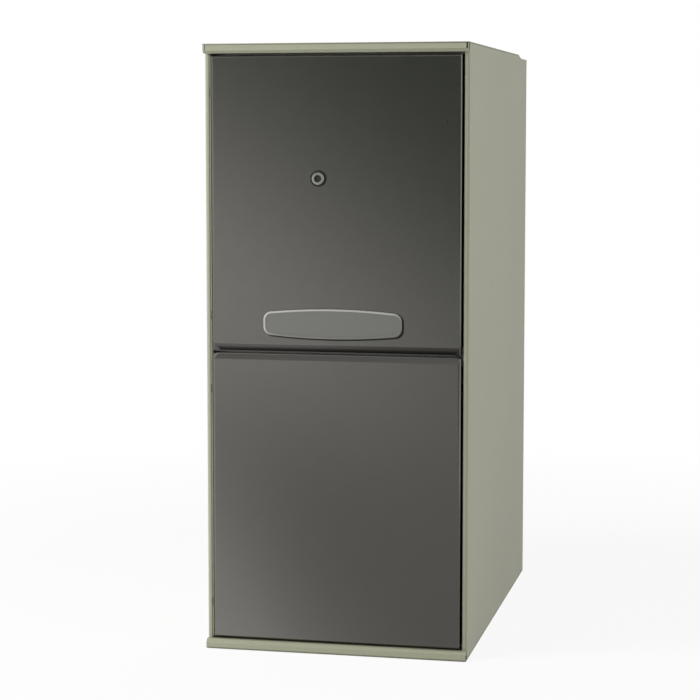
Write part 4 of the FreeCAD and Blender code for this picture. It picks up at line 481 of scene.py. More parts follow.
@dataclass(frozen=True)
class DrawnMetal(Finish):
    """Bare drawn, turned or cast metal with fine streaks along one axis."""

    colour: Colour
    roughness: float = 0.32
    streak: Point = (30.0, 400.0, 400.0)
    stain: Colour = (0.20, 0.17, 0.13)
    stain_share: float = 0.12
    stains: Grain = (22.0, 5.0)
    shades: Range = (0.8, 1.08)
    fine: Grain = (1.0, 4.0)
    polish: float = 0.07
    streak_dulling: float = 0.16
    streak_depth: float = 0.00004

    def paint(self, recipe: Recipe) -> None:
        """Paints the tree.

        Args:
            recipe: Tree to add to.
        """
        streaks = recipe.noise(*self.fine, recipe.stretched(self.streak))
        stains = recipe.noise(*self.stains)
        bare = recipe.shaded(streaks, self.colour, self.shades)
        recipe.surface(
            Base_Color=recipe.mix(stains * self.stain_share, bare, self.stain),
            Metallic=0.95,
            Roughness=self.roughness - self.polish + streaks * self.streak_dulling,
            Normal=recipe.bump(streaks, self.streak_depth),
        )


@dataclass(frozen=True)
class Moulded(Finish):
    """Moulded plastic, rubber, foam or ceramic with a fine spark-eroded grain."""

    colour: Colour
    roughness: float = 0.5
    grain_scale: float = 1400.0
    grain_depth: float = 0.00005
    grain_detail: float = 2.0
    shades: Range = (0.82, 1.15)
    bloom: Grain = (28.0, 4.0)
    bloom_dulling: float = 0.12

    def paint(self, recipe: Recipe) -> None:
        """Paints the tree.

        Args:
            recipe: Tree to add to.
        """
        grain, bloom = recipe.noise(self.grain_scale, self.grain_detail), recipe.noise(*self.bloom)
        recipe.surface(
            Base_Color=recipe.shaded(bloom, self.colour, self.shades),
            Roughness=self.roughness - self.bloom_dulling / 2 + bloom * self.bloom_dulling,
            Normal=recipe.bump(grain, self.grain_depth),
        )


@dataclass(frozen=True)
class HeatedTube(Finish):
    """Aluminised tube that its burner has tinted at the mouth."""

    colour: Colour = (0.56, 0.55, 0.52)
    mouth: float = -0.152
    reach: float = 0.16
    tints: tuple[Stop, ...] = (
        (0.0, (0.16, 0.12, 0.10)), (0.3, (0.30, 0.24, 0.22)), (0.6, (0.46, 0.40, 0.30)),
    )
    mottle: Grain = (55.0, 5.0)
    mottle_reach: float = 0.3
    mottle_dulling: float = 0.2
    mottle_depth: float = 0.00015
    dull: float = 0.8
    roughness: float = 0.36

    def paint(self, recipe: Recipe) -> None:
        """Paints the tree.

        Args:
            recipe: Tree to add to.
        """
        mottle = recipe.noise(*self.mottle)
        along = (recipe.axis("Y") - self.mouth) * (1 / self.reach) + mottle * self.mottle_reach
        stops = (*self.tints, (1.0, self.colour))
        tint = recipe.add("ShaderNodeValToRGB", {"stops": stops}, {0: along})
        recipe.surface(
            Base_Color=recipe.mix(mottle, dimmed(self.colour, self.dull), tint),
            Metallic=0.85,
            Roughness=self.roughness + mottle * self.mottle_dulling,
            Normal=recipe.bump(mottle, self.mottle_depth),
        )


@dataclass(frozen=True)
class SolderMask(Finish):
    """Green circuit board with its copper tracks under the lacquer."""

    colour: Colour = (0.015, 0.12, 0.05)
    track: Colour = (0.05, 0.22, 0.09)
    pads: float = 260.0
    pad_edge: float = 0.35
    pad_dulling: float = 0.12
    track_pitch: float = 70.0
    track_bend: float = 3.0
    track_detail: float = 1.0
    track_edge: float = 0.55
    track_depth: float = 0.00006
    roughness: float = 0.3

    def paint(self, recipe: Recipe) -> None:
        """Paints the tree.

        Args:
            recipe: Tree to add to.
        """
        pads = recipe.cells(self.pads)
        bands = recipe.add("ShaderNodeTexWave", {"wave_type": "BANDS", "bands_direction": "X"}, {
            "Vector": recipe.place(), "Scale": self.track_pitch,
            "Distortion": self.track_bend, "Detail": self.track_detail,
        }, "Fac")
        tracks = (bands > self.track_edge) * (pads > self.pad_edge)
        recipe.surface(
            Base_Color=recipe.mix(tracks, self.colour, self.track),
            Roughness=self.roughness + pads * self.pad_dulling,
            Normal=recipe.bump(tracks, self.track_depth),
        )


@dataclass(frozen=True)
class Laminations(Finish):
    """Varnished stack of thin core plates."""

    colour: Colour = (0.17, 0.15, 0.13)
    shades: Range = (0.5, 1.0)
    plate_pitch: float = 320.0
    plate_bend: float = 0.4
    plate_depth: float = 0.00012
    varnish: Grain = (60.0, 3.0)
    varnish_share: float = 0.4
    varnish_dulling: float = 0.2
    roughness: float = 0.35

    def paint(self, recipe: Recipe) -> None:
        """Paints the tree.

        Args:
            recipe: Tree to add to.
        """
        plates = recipe.add("ShaderNodeTexWave", {"wave_type": "BANDS", "bands_direction": "Y"}, {
            "Vector": recipe.place(), "Scale": self.plate_pitch, "Distortion": self.plate_bend,
        }, "Fac")
        varnish = recipe.noise(*self.varnish)
        tone = plates.blended(varnish, self.varnish_share)
        recipe.surface(
            Base_Color=recipe.shaded(tone, self.colour, self.shades),
            Metallic=0.4,
            Roughness=self.roughness + varnish * self.varnish_dulling,
            Normal=recipe.bump(plates, self.plate_depth),
        )


@dataclass(frozen=True)
class SatinPlate(Finish):
    """Nameplate casting: a bead-blasted face inside a polished rim, with painted light towards its upper
    left and painted shade towards its lower right.
    """

    face: Colour = (0.305, 0.303, 0.290)
    rim: Colour = (0.74, 0.735, 0.71)
    face_shades: Range = (0.65, 1.35)
    rim_shades: Range = (0.92, 1.0)
    face_depth: float = -0.3611
    face_band: float = 0.00025
    middle: tuple[float, float] = (-0.004, 0.5547)
    # Painted light and shade on the rim: which way it turns from lit to shaded, and how dark its shaded
    # side gets.
    lean: tuple[float, float] = (-11.0, 80.0)
    rim_in_shade: float = 0.42
    beads: Grain = (900.0, 4.0)
    bead_depth: float = 0.0001
    bead_dulling: float = 0.06
    face_dulling: float = 0.2
    roughness: float = 0.26

    def paint(self, recipe: Recipe) -> None:
        """Paints the tree.

        Args:
            recipe: Tree to add to.
        """
        beads = recipe.noise(*self.beads)
        across, depth, height = (recipe.axis(name) for name in "XYZ")
        on_face = (depth > self.face_depth - self.face_band) * (depth < self.face_depth + self.face_band)
        bright = recipe.shaded(beads, self.rim, self.rim_shades)
        # Painted light and shade: the rim is lighter towards the upper left and darker towards the lower
        # right.
        aside = (across - self.middle[0]) * self.lean[0]
        lit_side = aside + (height - self.middle[1]) * self.lean[1] + 0.5
        lit_and_shaded_rim = recipe.mix(lit_side, dimmed(self.rim, self.rim_in_shade), bright)
        recipe.surface(
            Base_Color=recipe.mix(on_face, lit_and_shaded_rim, recipe.shaded(beads, self.face, self.face_shades)),
            Metallic=0.9,
            Roughness=self.roughness + on_face * self.face_dulling + beads * self.bead_dulling,
            Normal=recipe.bump(beads * on_face, self.bead_depth),
        )


@dataclass(frozen=True)
class DarkGlass(Finish):
    """Smoked sight glass with faint smears."""

    colour: Colour = (0.006, 0.006, 0.006)
    shades: Range = (0.7, 1.6)
    smear: Grain = (160.0, 4.0)
    smear_dulling: float = 0.1
    roughness: float = 0.05

    def paint(self, recipe: Recipe) -> None:
        """Paints the tree.

        Args:
            recipe: Tree to add to.
        """
        smear = recipe.noise(*self.smear)
        recipe.surface(
            Base_Color=recipe.shaded(smear, self.colour, self.shades),
            Roughness=self.roughness + smear * self.smear_dulling,
            Coat_Weight=0.15,
        )


class Look(Enum):
    """Every finish on the furnace."""

    CABINET = Enamel("cabinet_enamel", (0.360, 0.366, 0.266), 0.5, edge_shade=0.55)
    DOOR = FlakeEnamel("door_enamel", (0.190, 0.185, 0.172))
    ZINC = Galvanised("galvanised_sheet")
    DULL_ZINC = Galvanised("dull_galvanised_sheet", (0.44, 0.45, 0.45), 160.0)
    FOIL = Foil("foil_board")
    SPRING = DrawnMetal("spring_strip", (0.55, 0.55, 0.56), 0.25, (400.0, 400.0, 40.0))
    TUBE = HeatedTube("heated_tube")
    FIN = DrawnMetal("fin_stock", (0.72, 0.73, 0.74), 0.3, (500.0, 500.0, 40.0))
    BURNER = DrawnMetal("burner_steel", (0.46, 0.43, 0.39), 0.4, (300.0, 60.0, 300.0))
    BRASS = DrawnMetal("turned_brass", (0.66, 0.50, 0.22), 0.25, (500.0, 30.0, 500.0))
    CASTING = DrawnMetal("die_casting", (0.50, 0.50, 0.50), 0.45, (300.0, 300.0, 300.0))
    SHAFT = DrawnMetal("ground_shaft", (0.58, 0.58, 0.58), 0.2, (30.0, 500.0, 500.0))
    PLATED = DrawnMetal("plated_screw", (0.62, 0.60, 0.55), 0.28, (500.0, 500.0, 500.0))
    RIVET_STEEL = DrawnMetal("rivet_steel", (0.24, 0.24, 0.235), 0.42, (500.0, 500.0, 500.0))
    DARK_SCREW = DrawnMetal("dark_screw", (0.07, 0.07, 0.068), 0.4, (500.0, 500.0, 500.0))
    BEZEL = DrawnMetal("satin_bezel", (0.48, 0.48, 0.46), 0.28, (200.0, 30.0, 200.0), stain_share=0.04)
    GAS_PIPE = Enamel("black_gas_pipe", (0.035, 0.035, 0.036), 0.38)
    MOTOR = Enamel("motor_enamel", (0.03, 0.03, 0.032), 0.35)
    BLACK_PLASTIC = Moulded("black_moulding", (0.028, 0.028, 0.030), 0.46)
    GREY_PLASTIC = Moulded("grey_moulding", (0.13, 0.13, 0.135), 0.45)
    RUBBER = Moulded("black_rubber", (0.018, 0.018, 0.018), 0.72, 900.0, 0.00008)
    FOAM = Moulded("seal_foam", (0.33, 0.325, 0.275), 0.85, 700.0, 0.0001)
    RED_PLASTIC = Moulded("red_moulding", (0.42, 0.035, 0.025), 0.32)
    CERAMIC = Moulded("white_ceramic", (0.74, 0.71, 0.64), 0.55, 1000.0, 0.0001)
    WHITE_PIPE = Moulded("white_pipe", (0.80, 0.80, 0.77), 0.3, 300.0, 0.00003)
    BOARD = SolderMask("circuit_board")
    CORE = Laminations("core_plates")
    NAMEPLATE = SatinPlate("nameplate_casting")
    GLASS = DarkGlass("sight_glass")

    @property
    def material(self) -> bpy.types.Material:
        """The finish's material, built at its first use."""
        return bpy.data.materials.get(self.value.name) or self.value.make()


def dress(look: Look, *nodes: str) -> None:
    """Gives CAD nodes a finish.

    Args:
        look: The finish.
        *nodes: Names of the nodes.
    """
    for name in nodes:
        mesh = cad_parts[name].data
        mesh.materials.clear()
        mesh.materials.append(look.material)
        LOG.info("%s dressed in %s", name, look.value.name)


def soften(width: float, *nodes: str) -> None:
    """Rounds the sharp folds of CAD nodes, so that they catch the light.

    Args:
        width: Width of the rounding in metres.
        *nodes: Names of the nodes.
    """
    for name in nodes:
        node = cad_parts[name]
        weld = node.modifiers.new("weld", "WELD")
        weld.merge_threshold = WELD_REACH
        bevel = node.modifiers.new("fold", "BEVEL")
        bevel.limit_method = "ANGLE"
        bevel.angle_limit = FOLD_ANGLE
        bevel.width = width
        bevel.segments = ROUNDING_STEPS
        bevel.harden_normals = True
        LOG.info("%s softened", name)


class Fastener(Enum):
    """Turned profiles of small fasteners as (radius, height, sides) rings, in millimetres."""

    HEX_SCREW = (
        ((5.2, 0.0, 24), (5.2, 0.7, 24), (4.6, 1.0, 24), (3.9, 1.0, 24)),
        ((3.9, 1.0, 6), (3.9, 3.2, 6), (3.3, 3.7, 6), (2.2, 3.7, 6), (2.0, 3.2, 6)),
    )
    PAN_SCREW = (
        ((3.4, 0.0, 20), (3.4, 0.5, 20), (3.0, 1.3, 20), (2.0, 1.8, 20), (1.0, 1.9, 20)),
    )
    LOW_SCREW = (((2.3, 0.0, 20), (2.2, 0.25, 20), (1.5, 0.55, 20), (0.9, 0.6, 20), (0.7, 0.3, 20)),)
    RIVET = (((3.0, 0.0, 20), (2.9, 0.25, 20), (2.2, 0.6, 20), (1.1, 0.78, 20), (0.9, 0.55, 20)),)
    PIN_WASHER = (
        ((14.0, 0.0, 28), (14.0, 0.4, 28), (9.0, 1.2, 28), (4.0, 1.4, 28)),
        ((1.6, 1.4, 14), (1.6, 3.0, 14), (1.2, 3.3, 14)),
    )


class Facing(Enum):
    """Ways that the heads of fasteners face."""

    FRONT = (0, -1, 0)
    BACK = (0, 1, 0)
    UP = (0, 0, 1)
    DOWN = (0, 0, -1)


def put(name: str, data: bpy.types.ID) -> bpy.types.Object:
    """Makes an object and links it to the scene.

    Args:
        name: Its name.
        data: Its mesh, lamp or camera.

    Returns:
        The object.
    """
    thing = bpy.data.objects.new(name, data)
    bpy.context.scene.collection.objects.link(thing)
    return thing


def bridge(mesh: bmesh.types.BMesh, first: Loop, second: Loop) -> None:
    """Joins two closed loops of as many vertices by a band of faces.

    Args:
        mesh: Mesh to add to.
        first: One loop.
        second: The other loop.
    """
    for index in range(len(first)):
        after = (index + 1) % len(first)
        mesh.faces.new((first[index], first[after], second[after], second[index]))


def add_turned(mesh: bmesh.types.BMesh, turn: Matrix, rings: Sequence[Ring]) -> None:
    """Adds a turned form whose ends are closed.

    Args:
        mesh: Mesh to add to.
        turn: Place and direction of its axis.
        rings: Its rings, from the first end to the last.
    """
    loops = []
    for radius, height, sides in rings:
        loops.append([
            mesh.verts.new(turn @ Vector((
                radius * MM * math.cos(math.tau * index / sides),
                radius * MM * math.sin(math.tau * index / sides),
                height * MM,
            )))
            for index in range(sides)
        ])
    for low, high in zip(loops, loops[1:]):
        bridge(mesh, low, high)
    mesh.faces.new(loops[-1])
    mesh.faces.new(loops[0][::-1])


def add_block(mesh: bmesh.types.BMesh, middle: Vector, size: Vector, rounding: float) -> None:
    """Adds a block with rounded edges.

    Args:
        mesh: Mesh to add to.
        middle: Its middle.
        size: Its size along each axis.
        rounding: Width of the rounding.
    """
    place = Matrix.LocRotScale(middle, None, size)
    corners = bmesh.ops.create_cube(mesh, size=1.0, matrix=place)["verts"]
    edges = list({edge for corner in corners for edge in corner.link_edges})
    bmesh.ops.bevel(
        mesh, geom=edges, offset=rounding, segments=ROUNDING_STEPS, profile=0.5, affect="EDGES"
    )


def finish_piece(mesh: bmesh.types.BMesh, name: str, look: Look, body: str) -> None:
    """Turns a built mesh into a piece that rides on a body.

    Args:
        mesh: The built mesh, in the part's frame.
        name: Name of the piece.
        look: Its finish.
        body: Body that carries it.
    """
    bmesh.ops.recalc_face_normals(mesh, faces=mesh.faces)
    data = bpy.data.meshes.new(name)
    mesh.to_mesh(data)
    mesh.free()
    data.materials.append(look.material)
    data.shade_smooth()
    data.set_sharp_from_angle(angle=SMOOTH_ANGLE)
    piece = put(name, data)
    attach(piece, body)
    LOG.info("%s rides on %s", name, body)


def fasten(
    name: str,
    kind: Fastener,
    places: Sequence[Point],
    facing: Facing,
    look: Look = Look.PLATED,
    body: str = "cabinet",
) -> None:
    """Makes a set of fasteners as one piece.

    Args:
        name: Name of the piece.
        kind: Their profile.
        places: Where they sit, in metres.
        facing: Where their heads face.
        look: Their finish.
        body: Body that carries them.
    """
    mesh = bmesh.new()
    turn = Vector(facing.value).to_track_quat("Z", "Y").to_matrix().to_4x4()
    for place in places:
        for rings in kind.value:
            add_turned(mesh, Matrix.Translation(place) @ turn, rings)
    finish_piece(mesh, name, look, body)


def grid(xs: Sequence[float], ys: Sequence[float], zs: Sequence[float]) -> tuple[Point, ...]:
    """Every place of a grid, in metres."""
    return tuple((x, y, z) for x in xs for y in ys for z in zs)


def spaced(first: float, last: float, count: int) -> list[float]:
    """Evenly spaced values, ends included."""
    return [first + (last - first) * index / (count - 1) for index in range(count)]


@dataclass
class Cabinet:
    """Painted casing, inner sheets and their fasteners."""

    fold: float = 0.0006
    seal_length: float = 0.016
    seal_depth: float = 0.0054
    seal_front: float = 0.006
    seal_end: float = 0.0004
    seal_room: float = 0.0012
    seal_round: float = 0.0008
    bulb: Profile = (
        (0.0034, 0.0080), (0.0034, 0.0014), (0.0029, 0.0006), (0.0021, 0.0004),
        (0.0012, 0.0009), (0.0005, 0.0018), (0.0003, 0.0030), (0.0003, 0.0080),
    )
    slim_bulb: Profile = (
        (0.0022, 0.0026), (0.0022, 0.0008), (0.0017, 0.0004), (0.0010, 0.0008),
        (0.0005, 0.0016), (0.0003, 0.0026),
    )
    catch_levels: tuple[float, ...] = (0.0785, 0.4423, 0.5657, 0.9365)
    catch_half: float = 0.008
    rivet_count: int = 9
    rivet_flange: float = 0.017
    rivet_edge: float = 0.012
    rivet_end: float = 0.04
    tray_sheet: float = 0.001
    screw_edge: float = 0.011
    side_first: float = -0.12
    side_end: float = 0.03
    side_count: int = 4
    front_row: Row = (-0.09, 0.09, 3)
    wall_edge: float = 0.008
    wall_column: Row = (0.66, 0.97, 3)
    wall_row: Row = (-0.12, 0.12, 4)
    wall_head: float = 0.955

    def build(self) -> None:
        """Dresses the sheets and adds their fasteners."""
        dress(Look.CABINET, "left_side_panel", "right_side_panel", "top_rail", "bottom_rail")
        dress(Look.ZINC, "back_panel", "base_pan", "top_panel", "blower_deck", "vestibule_panel")
        dress(Look.DULL_ZINC, "middle_rail")
        dress(Look.FOIL, "wall_insulation")
        dress(Look.RUBBER, "wall_grommets")
        dress(Look.SPRING, "door_catches")
        soften(self.fold, "top_rail", "bottom_rail")
        self.rail_seals()
        self.post_seal()
        self.rivets()
        self.top_screws()
        self.wall_screws()

    def rail_seals(self) -> None:
        """Foam blocks that close the ends of the two front rails."""
        mesh = bmesh.new()
        for name in ("top_rail", "bottom_rail"):
            low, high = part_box(name)
            for sign in (-1, 1):
                size = Vector((self.seal_length, self.seal_depth, high.z - low.z - 2 * self.seal_room))
                middle = Vector((
                    sign * (high.x - self.seal_end - size.x / 2),
                    low.y + self.seal_front + size.y / 2,
                    (low.z + high.z) / 2,
                ))
                add_block(mesh, middle, size, self.seal_round)
        finish_piece(mesh, "rail_seals", Look.RUBBER, "cabinet")

    def post_seal(self) -> None:
        """Foam bulb between the left post and the doors, slimmer beside the door catches."""
        levels = [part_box("lower_door_panel")[0].z]
        for level in self.catch_levels:
            levels += [level - self.catch_half, level + self.catch_half]
        levels.append(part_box("upper_door_panel")[1].z)
        mesh = bmesh.new()
        for index, span in enumerate(zip(levels, levels[1:])):
            self.add_bulb(mesh, self.slim_bulb if index % 2 else self.bulb, span)
        finish_piece(mesh, "post_seal", Look.FOAM, "cabinet")

    def add_bulb(
        self, mesh: bmesh.types.BMesh, profile: Profile, span: tuple[float, float]
    ) -> None:
        """Adds one length of the bulb.

        Args:
            mesh: Mesh to add to.
            profile: Distances from the doors' edge and behind the post's face.
            span: Heights of its two ends.
        """
        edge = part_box("upper_door_panel")[0].x
        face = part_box("left_side_panel")[0].y
        ends = [
            [mesh.verts.new((edge - across, face + depth, height)) for across, depth in profile]
            for height in span
        ]
        bridge(mesh, *ends)
        for end in ends:
            mesh.faces.new(end)

    def rivets(self) -> None:
        """Rows of low rivets along the back panel, inside the rear flanges."""
        low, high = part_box("back_panel")
        edge = high.x - self.rivet_flange - self.rivet_edge
        heights = spaced(low.z + self.rivet_end, high.z - self.rivet_end, self.rivet_count)
        places = grid((-edge, edge), (high.y,), heights)
        fasten("back_rivets", Fastener.RIVET, places, Facing.BACK, Look.RIVET_STEEL)

    def top_screws(self) -> None:
        """Screws of the top tray."""
        low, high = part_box("top_panel")
        level = low.z + self.tray_sheet
        side = high.x - self.screw_edge
        depths = spaced(self.side_first, high.y - self.side_end, self.side_count)
        places = grid((-side, side), depths, (level,))
        places += grid(spaced(*self.front_row), (low.y + self.screw_edge,), (level,))
        fasten("top_screws", Fastener.HEX_SCREW, places, Facing.UP)

    def wall_screws(self) -> None:
        """Screws round the vestibule wall."""
        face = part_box("vestibule_panel")[0]
        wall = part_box("collector_box")[1].y
        edge = abs(face.x) - self.wall_edge
        places = grid((-edge, edge), (wall,), spaced(*self.wall_column))
        places += grid(spaced(*self.wall_row), (wall,), (self.wall_head,))
        fasten("vestibule_screws", Fastener.HEX_SCREW, places, Facing.FRONT)


@dataclass
class Doors:
    """The two pull-off doors with their lining."""

    fold: float = 0.0007
    pin_side: float = 0.05
    pin_end: float = 0.06
    pin_columns: int = 3
    pin_rows: int = 2
    screw_edge: float = 0.0248
    screw_drop: float = 0.1099

    def build(self) -> None:
        """Dresses the doors, pins their lining and adds the screw."""
        dress(Look.DOOR, "upper_door_panel", "lower_door_panel")
        dress(Look.FOIL, "upper_door_liner", "lower_door_liner")
        soften(self.fold, "upper_door_panel", "lower_door_panel")
        for part in ("upper", "lower"):
            low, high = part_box(f"{part}_door_liner")
            places = grid(
                spaced(low.x + self.pin_side, high.x - self.pin_side, self.pin_columns),
                (high.y,),
                spaced(low.z + self.pin_end, high.z - self.pin_end, self.pin_rows),
            )
            name, body = f"{part}_liner_pins", f"{part}_door"
            fasten(name, Fastener.PIN_WASHER, places, Facing.BACK, body=body)
        self.screw()

    def screw(self) -> None:
        """Low screw in the small hole near the upper door's right edge."""
        low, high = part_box("upper_door_panel")
        places = ((high.x - self.screw_edge, low.y, high.z - self.screw_drop),)
        name, kind = "upper_door_screw", Fastener.LOW_SCREW
        fasten(name, kind, places, Facing.FRONT, Look.DARK_SCREW, "upper_door")


@dataclass
class DoorFittings:
    """Sight glass and nameplate of the upper door."""

    bead_height: float = 0.0014
    bead_least: float = 0.0004
    # A dark piece in place of the nameplate's shadow: extra width, and the lower-right direction it
    # widens towards.
    shadow_width: float = 0.0036
    shadow_lean: tuple[float, float] = (0.72, -0.69)
    bead_gap: float = 0.00004
    bead_crown: Profile = ((0.6, 0.9), (0.92, 0.5), (1.0, 0.0))
    rear_reach: float = 0.00001

    def build(self) -> None:
        """Dresses the fittings and adds the black bead round the nameplate, which stands in for its
        shadow.
        """
        dress(Look.RUBBER, "sight_glass_gasket")
        dress(Look.BEZEL, "sight_glass_bezel")
        dress(Look.GLASS, "sight_glass_lens")
        dress(Look.NAMEPLATE, "nameplate")
        self.shadow_bead()

    def outline(self) -> list[Vector]:
        """Finds the outline of the nameplate's rear face.

        Returns:
            Its corners in order, as across and height.
        """
        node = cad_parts["nameplate"]
        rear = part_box("nameplate")[1].y
        corners = [node.matrix_world @ vertex.co for vertex in node.data.vertices]
        edge = rear - self.rear_reach
        flat = [Vector((corner.x, corner.z)) for corner in corners if corner.y > edge]
        return [flat[index] for index in convex_hull_2d(flat)]

    def shadow_bead(self) -> None:
        """Black bead round the nameplate, wider towards its lower right, where it stands in for the
        plate's shadow.
        """
        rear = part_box("nameplate")[1].y
        rim = self.outline()
        count = len(rim)
        mesh = bmesh.new()
        loops = []
        for index, place in enumerate(rim):
            along = rim[(index + 1) % count] - rim[index - 1]
            outward = Vector((along.y, -along.x)).normalized()
            # Painted shadow: the black bead widens towards the lower right, where the plate's shadow
            # falls.
            width = self.bead_least + self.shadow_width * max(0.0, outward.dot(Vector(self.shadow_lean)))
            section = [(self.bead_gap, 0.0), (self.bead_gap, self.bead_height)]
            section += [(width * out, self.bead_height * up) for out, up in self.bead_crown]
            spots = [(place + outward * off, rear - rise) for off, rise in section]
            loops.append([mesh.verts.new((spot.x, depth, spot.y)) for spot, depth in spots])
        for index, loop in enumerate(loops):
            bridge(mesh, loop, loops[(index + 1) % count])
        finish_piece(mesh, "nameplate_shadow_bead", Look.RUBBER, "upper_door")


@dataclass
class HeatExchanger:
    """Tubes, coupling box, condensing coil, collector and trap."""

    screw_row: Row = (-0.148, 0.148, 7)
    screw_depth: float = 0.003
    screw_drop: float = 0.004

    def build(self) -> None:
        """Dresses the flue gas path and screws the collector."""
        dress(Look.TUBE, "heat_exchanger_tubes", "coupling_box")
        dress(Look.FIN, "condensing_coil")
        dress(Look.BLACK_PLASTIC, "collector_box", "condensate_trap")
        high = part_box("collector_box")[1]
        places = grid(
            spaced(*self.screw_row), (high.y - self.screw_depth,), (high.z - self.screw_drop,)
        )
        fasten("collector_screws", Fastener.PAN_SCREW, places, Facing.FRONT)


@dataclass
class BurnerTrain:
    """Burners, gas valve and the flame safety pieces."""

    hood_row: Row = (-0.12, 0.12, 3)
    hood_inset: float = 0.012
    hood_corner: float = 0.118
    valve_face: float = 0.0154
    valve_left: float = 0.034
    valve_right: float = 0.03
    valve_rise: float = 0.012
    valve_fall: float = 0.002

    def build(self) -> None:
        """Dresses the burner compartment and adds its screws."""
        dress(Look.BURNER, "burners")
        dress(Look.ZINC, "burner_hood", "burner_rack")
        dress(Look.GAS_PIPE, "gas_manifold")
        dress(Look.BRASS, "gas_orifices")
        dress(Look.CASTING, "gas_valve")
        dress(Look.RED_PLASTIC, "gas_valve_knob", "left_reset_button", "right_reset_button")
        dress(Look.CERAMIC, "igniter", "flame_sensor")
        dress(Look.BLACK_PLASTIC, "rollout_switches", "limit_switch")
        self.hood_screws()
        self.valve_screws()

    def hood_screws(self) -> None:
        """Screws on top of the burner hood."""
        low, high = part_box("burner_hood")
        sides = (-self.hood_corner, self.hood_corner)
        places = grid(spaced(*self.hood_row), (high.y - self.hood_inset,), (high.z,))
        places += grid(sides, (low.y + self.hood_inset,), (high.z,))
        fasten("hood_screws", Fastener.HEX_SCREW, places, Facing.UP)

    def valve_screws(self) -> None:
        """Cover screws on the face of the gas valve, placed from its knob."""
        low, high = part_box("gas_valve_knob")
        face = low.y + self.valve_face
        places = (
            (high.x - self.valve_left, face, high.z + self.valve_rise),
            (high.x + self.valve_right, face, low.z + self.valve_fall),
        )
        fasten("valve_screws", Fastener.PAN_SCREW, places, Facing.FRONT)


@dataclass
class Inducer:
    """Draught inducer, vent and pressure switch."""

    band_width: float = 0.009
    band: float = 0.0008
    band_inset: float = 0.008
    band_sides: int = 48
    barrel_out: float = 0.004
    barrel_start: float = -0.010
    barrel: tuple[Ring, ...] = ((3.0, 0, 16), (3.6, 1, 16), (3.6, 13, 16), (3.0, 14, 16))
    screw_head: tuple[Ring, ...] = ((4.2, 15, 6), (4.2, 19, 6), (3.6, 20, 6))

    def build(self) -> None:
        """Dresses the inducer and clamps its boot."""
        dress(Look.ZINC, "inducer_back_plate")
        dress(Look.BLACK_PLASTIC, "inducer_housing", "inducer_wheel", "pipe_collars", "pressure_switch")
        dress(Look.MOTOR, "inducer_motor")
        dress(Look.RUBBER, "vent_boot", "pressure_hose")
        dress(Look.WHITE_PIPE, "vent_pipe")
        self.clamps()

    def clamps(self) -> None:
        """Worm-drive bands round the two ends of the vent boot."""
        low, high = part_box("vent_boot")
        middle = (low + high) / 2
        radius = (high.x - low.x) / 2
        mesh = bmesh.new()
        for height in (low.z + self.band_inset, high.z - self.band_inset):
            self.add_band(mesh, Vector((middle.x, middle.y, height)), radius)
        finish_piece(mesh, "boot_clamps", Look.SPRING, "cabinet")

    def add_band(self, mesh: bmesh.types.BMesh, centre: Vector, radius: float) -> None:
        """Adds one band with its screw housing.

        Args:
            mesh: Mesh to add to.
            centre: Middle of the band.
            radius: Radius of what it grips.
        """
        half, outer = self.band_width / 2, radius + self.band
        outline = ((radius, -half), (outer, -half), (outer, half), (radius, half))
        loops = []
        for index in range(self.band_sides):
            angle = math.tau * index / self.band_sides
            loops.append([
                mesh.verts.new(centre + Vector((r * math.cos(angle), r * math.sin(angle), z)))
                for r, z in outline
            ])
        for index, loop in enumerate(loops):
            bridge(mesh, loop, loops[(index + 1) % self.band_sides])
        start = centre + Vector((self.barrel_start, -(radius + self.barrel_out), 0))
        turn = Matrix.Translation(start) @ Matrix.Rotation(math.pi / 2, 4, "Y")
        for rings in (self.barrel, self.screw_head):
            add_turned(mesh, turn, rings)


@dataclass
class Blower:
    """Scroll blower with its motor."""

    flange: float = 0.001
    screw_edge: float = 0.006
    screw_row: Row = (0.10, 0.25, 3)

    def build(self) -> None:
        """Dresses the blower and screws its flanges."""
        dress(Look.ZINC, "blower_housing", "motor_mount")
        dress(Look.DULL_ZINC, "blower_wheel")
        dress(Look.SHAFT, "blower_shaft")
        dress(Look.MOTOR, "blower_motor")
        low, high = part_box("blower_housing")
        sides = (low.x + self.screw_edge, high.x - self.screw_edge)
        places = grid(sides, spaced(*self.screw_row), (high.z - self.flange,))
        fasten("blower_screws", Fastener.HEX_SCREW, places, Facing.DOWN)


@dataclass
class Controls:
    """Control bracket, board, transformer and door switch."""

    def build(self) -> None:
        """Dresses the controls."""
        dress(Look.ZINC, "control_panel")
        dress(Look.BOARD, "control_board")
        dress(Look.GREY_PLASTIC, "board_components")
        dress(Look.CORE, "transformer")
        dress(Look.BLACK_PLASTIC, "interlock_switch")
        dress(Look.RED_PLASTIC, "interlock_plunger")


@dataclass(frozen=True)
class SoftBox:
    """One soft area lamp."""

    name: str
    at: Point
    aim: Point
    size: tuple[float, float]
    power: float

    def build(self) -> None:
        """Hangs the lamp."""
        data = bpy.data.lights.new(self.name, "AREA")
        data.shape = "RECTANGLE"
        data.size, data.size_y = self.size
        data.energy = self.power
        lamp = put(self.name, data)
        lamp.location = self.at
        lamp.visible_glossy = False
        lamp.rotation_euler = (Vector(self.aim) - Vector(self.at)).to_track_quat("-Z", "Y").to_euler()
        LOG.info("%s hung", self.name)


